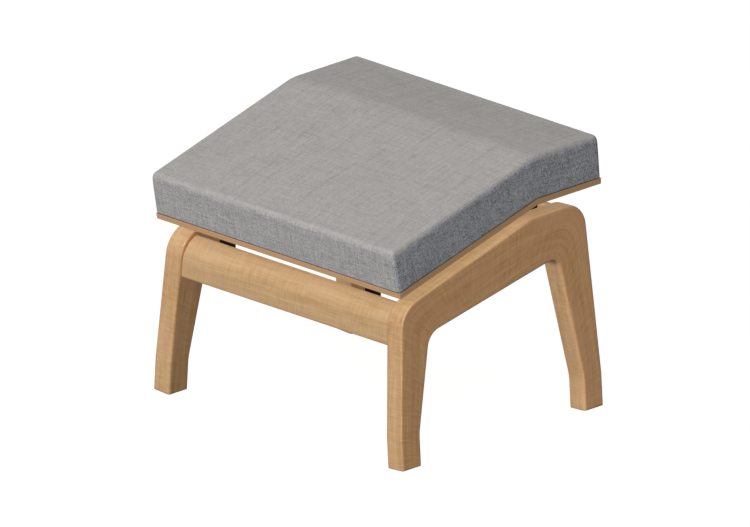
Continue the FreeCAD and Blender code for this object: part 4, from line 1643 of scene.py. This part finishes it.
@dataclass
class Studio:
    """White floor, soft lights and the camera."""

    view_back: tuple[float, float, float] = (2 / 3, -2 / 3, 1 / 3)
    aim: tuple[float, float, float] = (0.0, -0.00065, 0.2168)
    view_width: float = 1.125
    distance: float = 3.0
    key_towards: tuple[float, float, float] = (0.250, -0.770, 0.590)
    key_strength: float = 3.25
    key_spread: float = math.radians(30)
    open_share: float = 0.92
    fill_towards: tuple[float, float, float] = (-0.80, 0.60, 0.0)
    fill_strength: float = 1.0
    ambient: float = 0.085
    glossy_sky: tuple[float, float] = (0.25, 0.95)
    ceiling: tuple[float, float] = (0.25, 0.62)
    floor_half: float = 12.0
    floor_tone: Colour = (0.20, 0.20, 0.20)
    floor_seen_tone: Colour = (0.42, 0.42, 0.42)
    floor_seen_glow: float = 0.72
    floor_glossy_glow: float = 0.06

    def build(self) -> None:
        """Makes the floor, the lights, the world and the camera.

        The key lamp is split. Its open share casts no shadow, so what shadow there is stays
        faint.
        """
        self.make_floor()
        soft = self.key_spread
        self.make_sun("key", self.key_towards, self.key_strength * (1 - self.open_share), soft)
        self.make_sun("key_open", self.key_towards, self.key_strength * self.open_share,
                      soft / 6, casts=False)
        self.make_sun("fill", self.fill_towards, self.fill_strength, 2 * soft, gloss=False)
        self.make_world()
        self.make_camera()
        bpy.context.scene.view_settings.view_transform = "Standard"

    def make_floor(self) -> None:
        """Makes the floor.

        It shows white to the camera, keeps a soft shadow, lights the stool from below only a
        little, and is clear when seen from below.
        """
        graph = Graph("floor")
        nodes, links = graph.nodes, graph.links
        path = nodes.new("ShaderNodeLightPath")
        seen, glossy = path.outputs["Is Camera Ray"], path.outputs["Is Glossy Ray"]
        tone = graph.mix(seen, self.floor_tone, self.floor_seen_tone)
        glow = graph.weighted((seen, self.floor_seen_glow), (glossy, self.floor_glossy_glow))
        graph.put(graph.shader.inputs["Emission Color"], (1.0, 1.0, 1.0))
        graph.put(graph.shader.inputs["Emission Strength"], glow)
        graph.finish(tone, 1.0, Specular_IOR_Level=0.0)
        clear = nodes.new("ShaderNodeBsdfTransparent")
        either = nodes.new("ShaderNodeMixShader")
        geometry = nodes.new("ShaderNodeNewGeometry")
        links.new(geometry.outputs["Backfacing"], either.inputs[0])
        links.new(graph.shader.outputs[0], either.inputs[1])
        links.new(clear.outputs[0], either.inputs[2])
        links.new(either.outputs[0], nodes["Material Output"].inputs["Surface"])
        half = self.floor_half
        corners = [(-half, -half, 0.0), (half, -half, 0.0), (half, half, 0.0), (-half, half, 0.0)]
        mesh = bpy.data.meshes.new("floor")
        mesh.from_pydata(corners, [], [(0, 1, 2, 3)])
        mesh.materials.append(graph.material)
        floor = new_object("floor", mesh)

    def make_sun(self, name: str, towards: Colour, strength: float, spread: float,
                 casts: bool = True, gloss: bool = True) -> None:
        """Makes a distant lamp.

        Args:
            name: The lamp's name.
            towards: Direction from the stool to the lamp.
            strength: Light that falls on a surface square to it, times pi.
            spread: Angle that the lamp fills.
            casts: Whether things cast shadows in its light.
            gloss: Whether it shows in reflections.
        """
        light = bpy.data.lights.new(name, "SUN")
        light.energy = strength
        light.angle = spread
        light.use_shadow = casts
        lamp = new_object(name, light)
        lamp.visible_glossy = gloss
        lamp.rotation_mode = "QUATERNION"
        lamp.rotation_quaternion = Vector(towards).to_track_quat("Z", "Y")

    def make_world(self) -> None:
        """Makes a dim even sky that shows white to the camera.

        In reflections it is brighter, and brightest high up, like a room with a pale ceiling.
        """
        world = bpy.data.worlds.new("studio")
        world.use_nodes = True
        graph = Nodes(world.node_tree)
        place = graph.nodes.new("ShaderNodeTexCoord")
        height = graph.parts(place.outputs["Generated"])[2]
        low, high = self.glossy_sky
        sky = graph.spread(height, *self.ceiling, low - self.ambient, high - self.ambient)
        path = graph.nodes.new("ShaderNodeLightPath")
        glow = graph.math("MULTIPLY_ADD", path.outputs["Is Glossy Ray"], sky, self.ambient)
        background = graph.nodes["Background"]
        graph.put(background.inputs["Color"], (1.0, 1.0, 1.0))
        graph.put(background.inputs["Strength"],
                  graph.math("MAXIMUM", glow, path.outputs["Is Camera Ray"]))
        bpy.context.scene.world = world

    def make_camera(self) -> None:
        """Makes the parallel-projection camera of the photograph."""
        camera = bpy.data.cameras.new("camera")
        camera.type = "ORTHO"
        camera.ortho_scale = self.view_width
        back = Vector(self.view_back).normalized()
        viewer = new_object("camera", camera)
        viewer.location = Vector(self.aim) + back * self.distance
        viewer.rotation_mode = "QUATERNION"
        viewer.rotation_quaternion = (-back).to_track_quat("-Z", "Y")
        bpy.context.scene.camera = viewer


def main() -> None:
    """Builds the stool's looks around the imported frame."""
    logging.basicConfig(level=logging.INFO, format="%(name)s: %(message)s")
    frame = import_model()
    Studio().build()

    wood = Beech().material()
    ply = BentPly().material()
    fabric = WovenCover().material()
    pale_wood = Beech("pale_wood", dark=(0.455, 0.268, 0.122), light=(0.630, 0.427, 0.232),
                      blush=(0.595, 0.386, 0.214)).material()

    arches = SideFrame()
    for piece in arches.build(wood):
        LOG.info("%s has %d faces", piece.name, len(piece.data.polygons))
    rails = Rails(arches)
    for rail in (rails.front(), rails.rear()):
        piece = rail.build(pale_wood)
        LOG.info("%s has %d faces", piece.name, len(piece.data.polygons))
    line = SeatLine()
    for piece in (SeatBoard(line).build(ply), Cushion(line).build(fabric)):
        LOG.info("%s has %d faces", piece.name, len(piece.data.polygons))
    LOG.info("%d packed pieces dressed", Ironwork().build(frame["nodes"]))


if __name__ == "__main__":
    main()
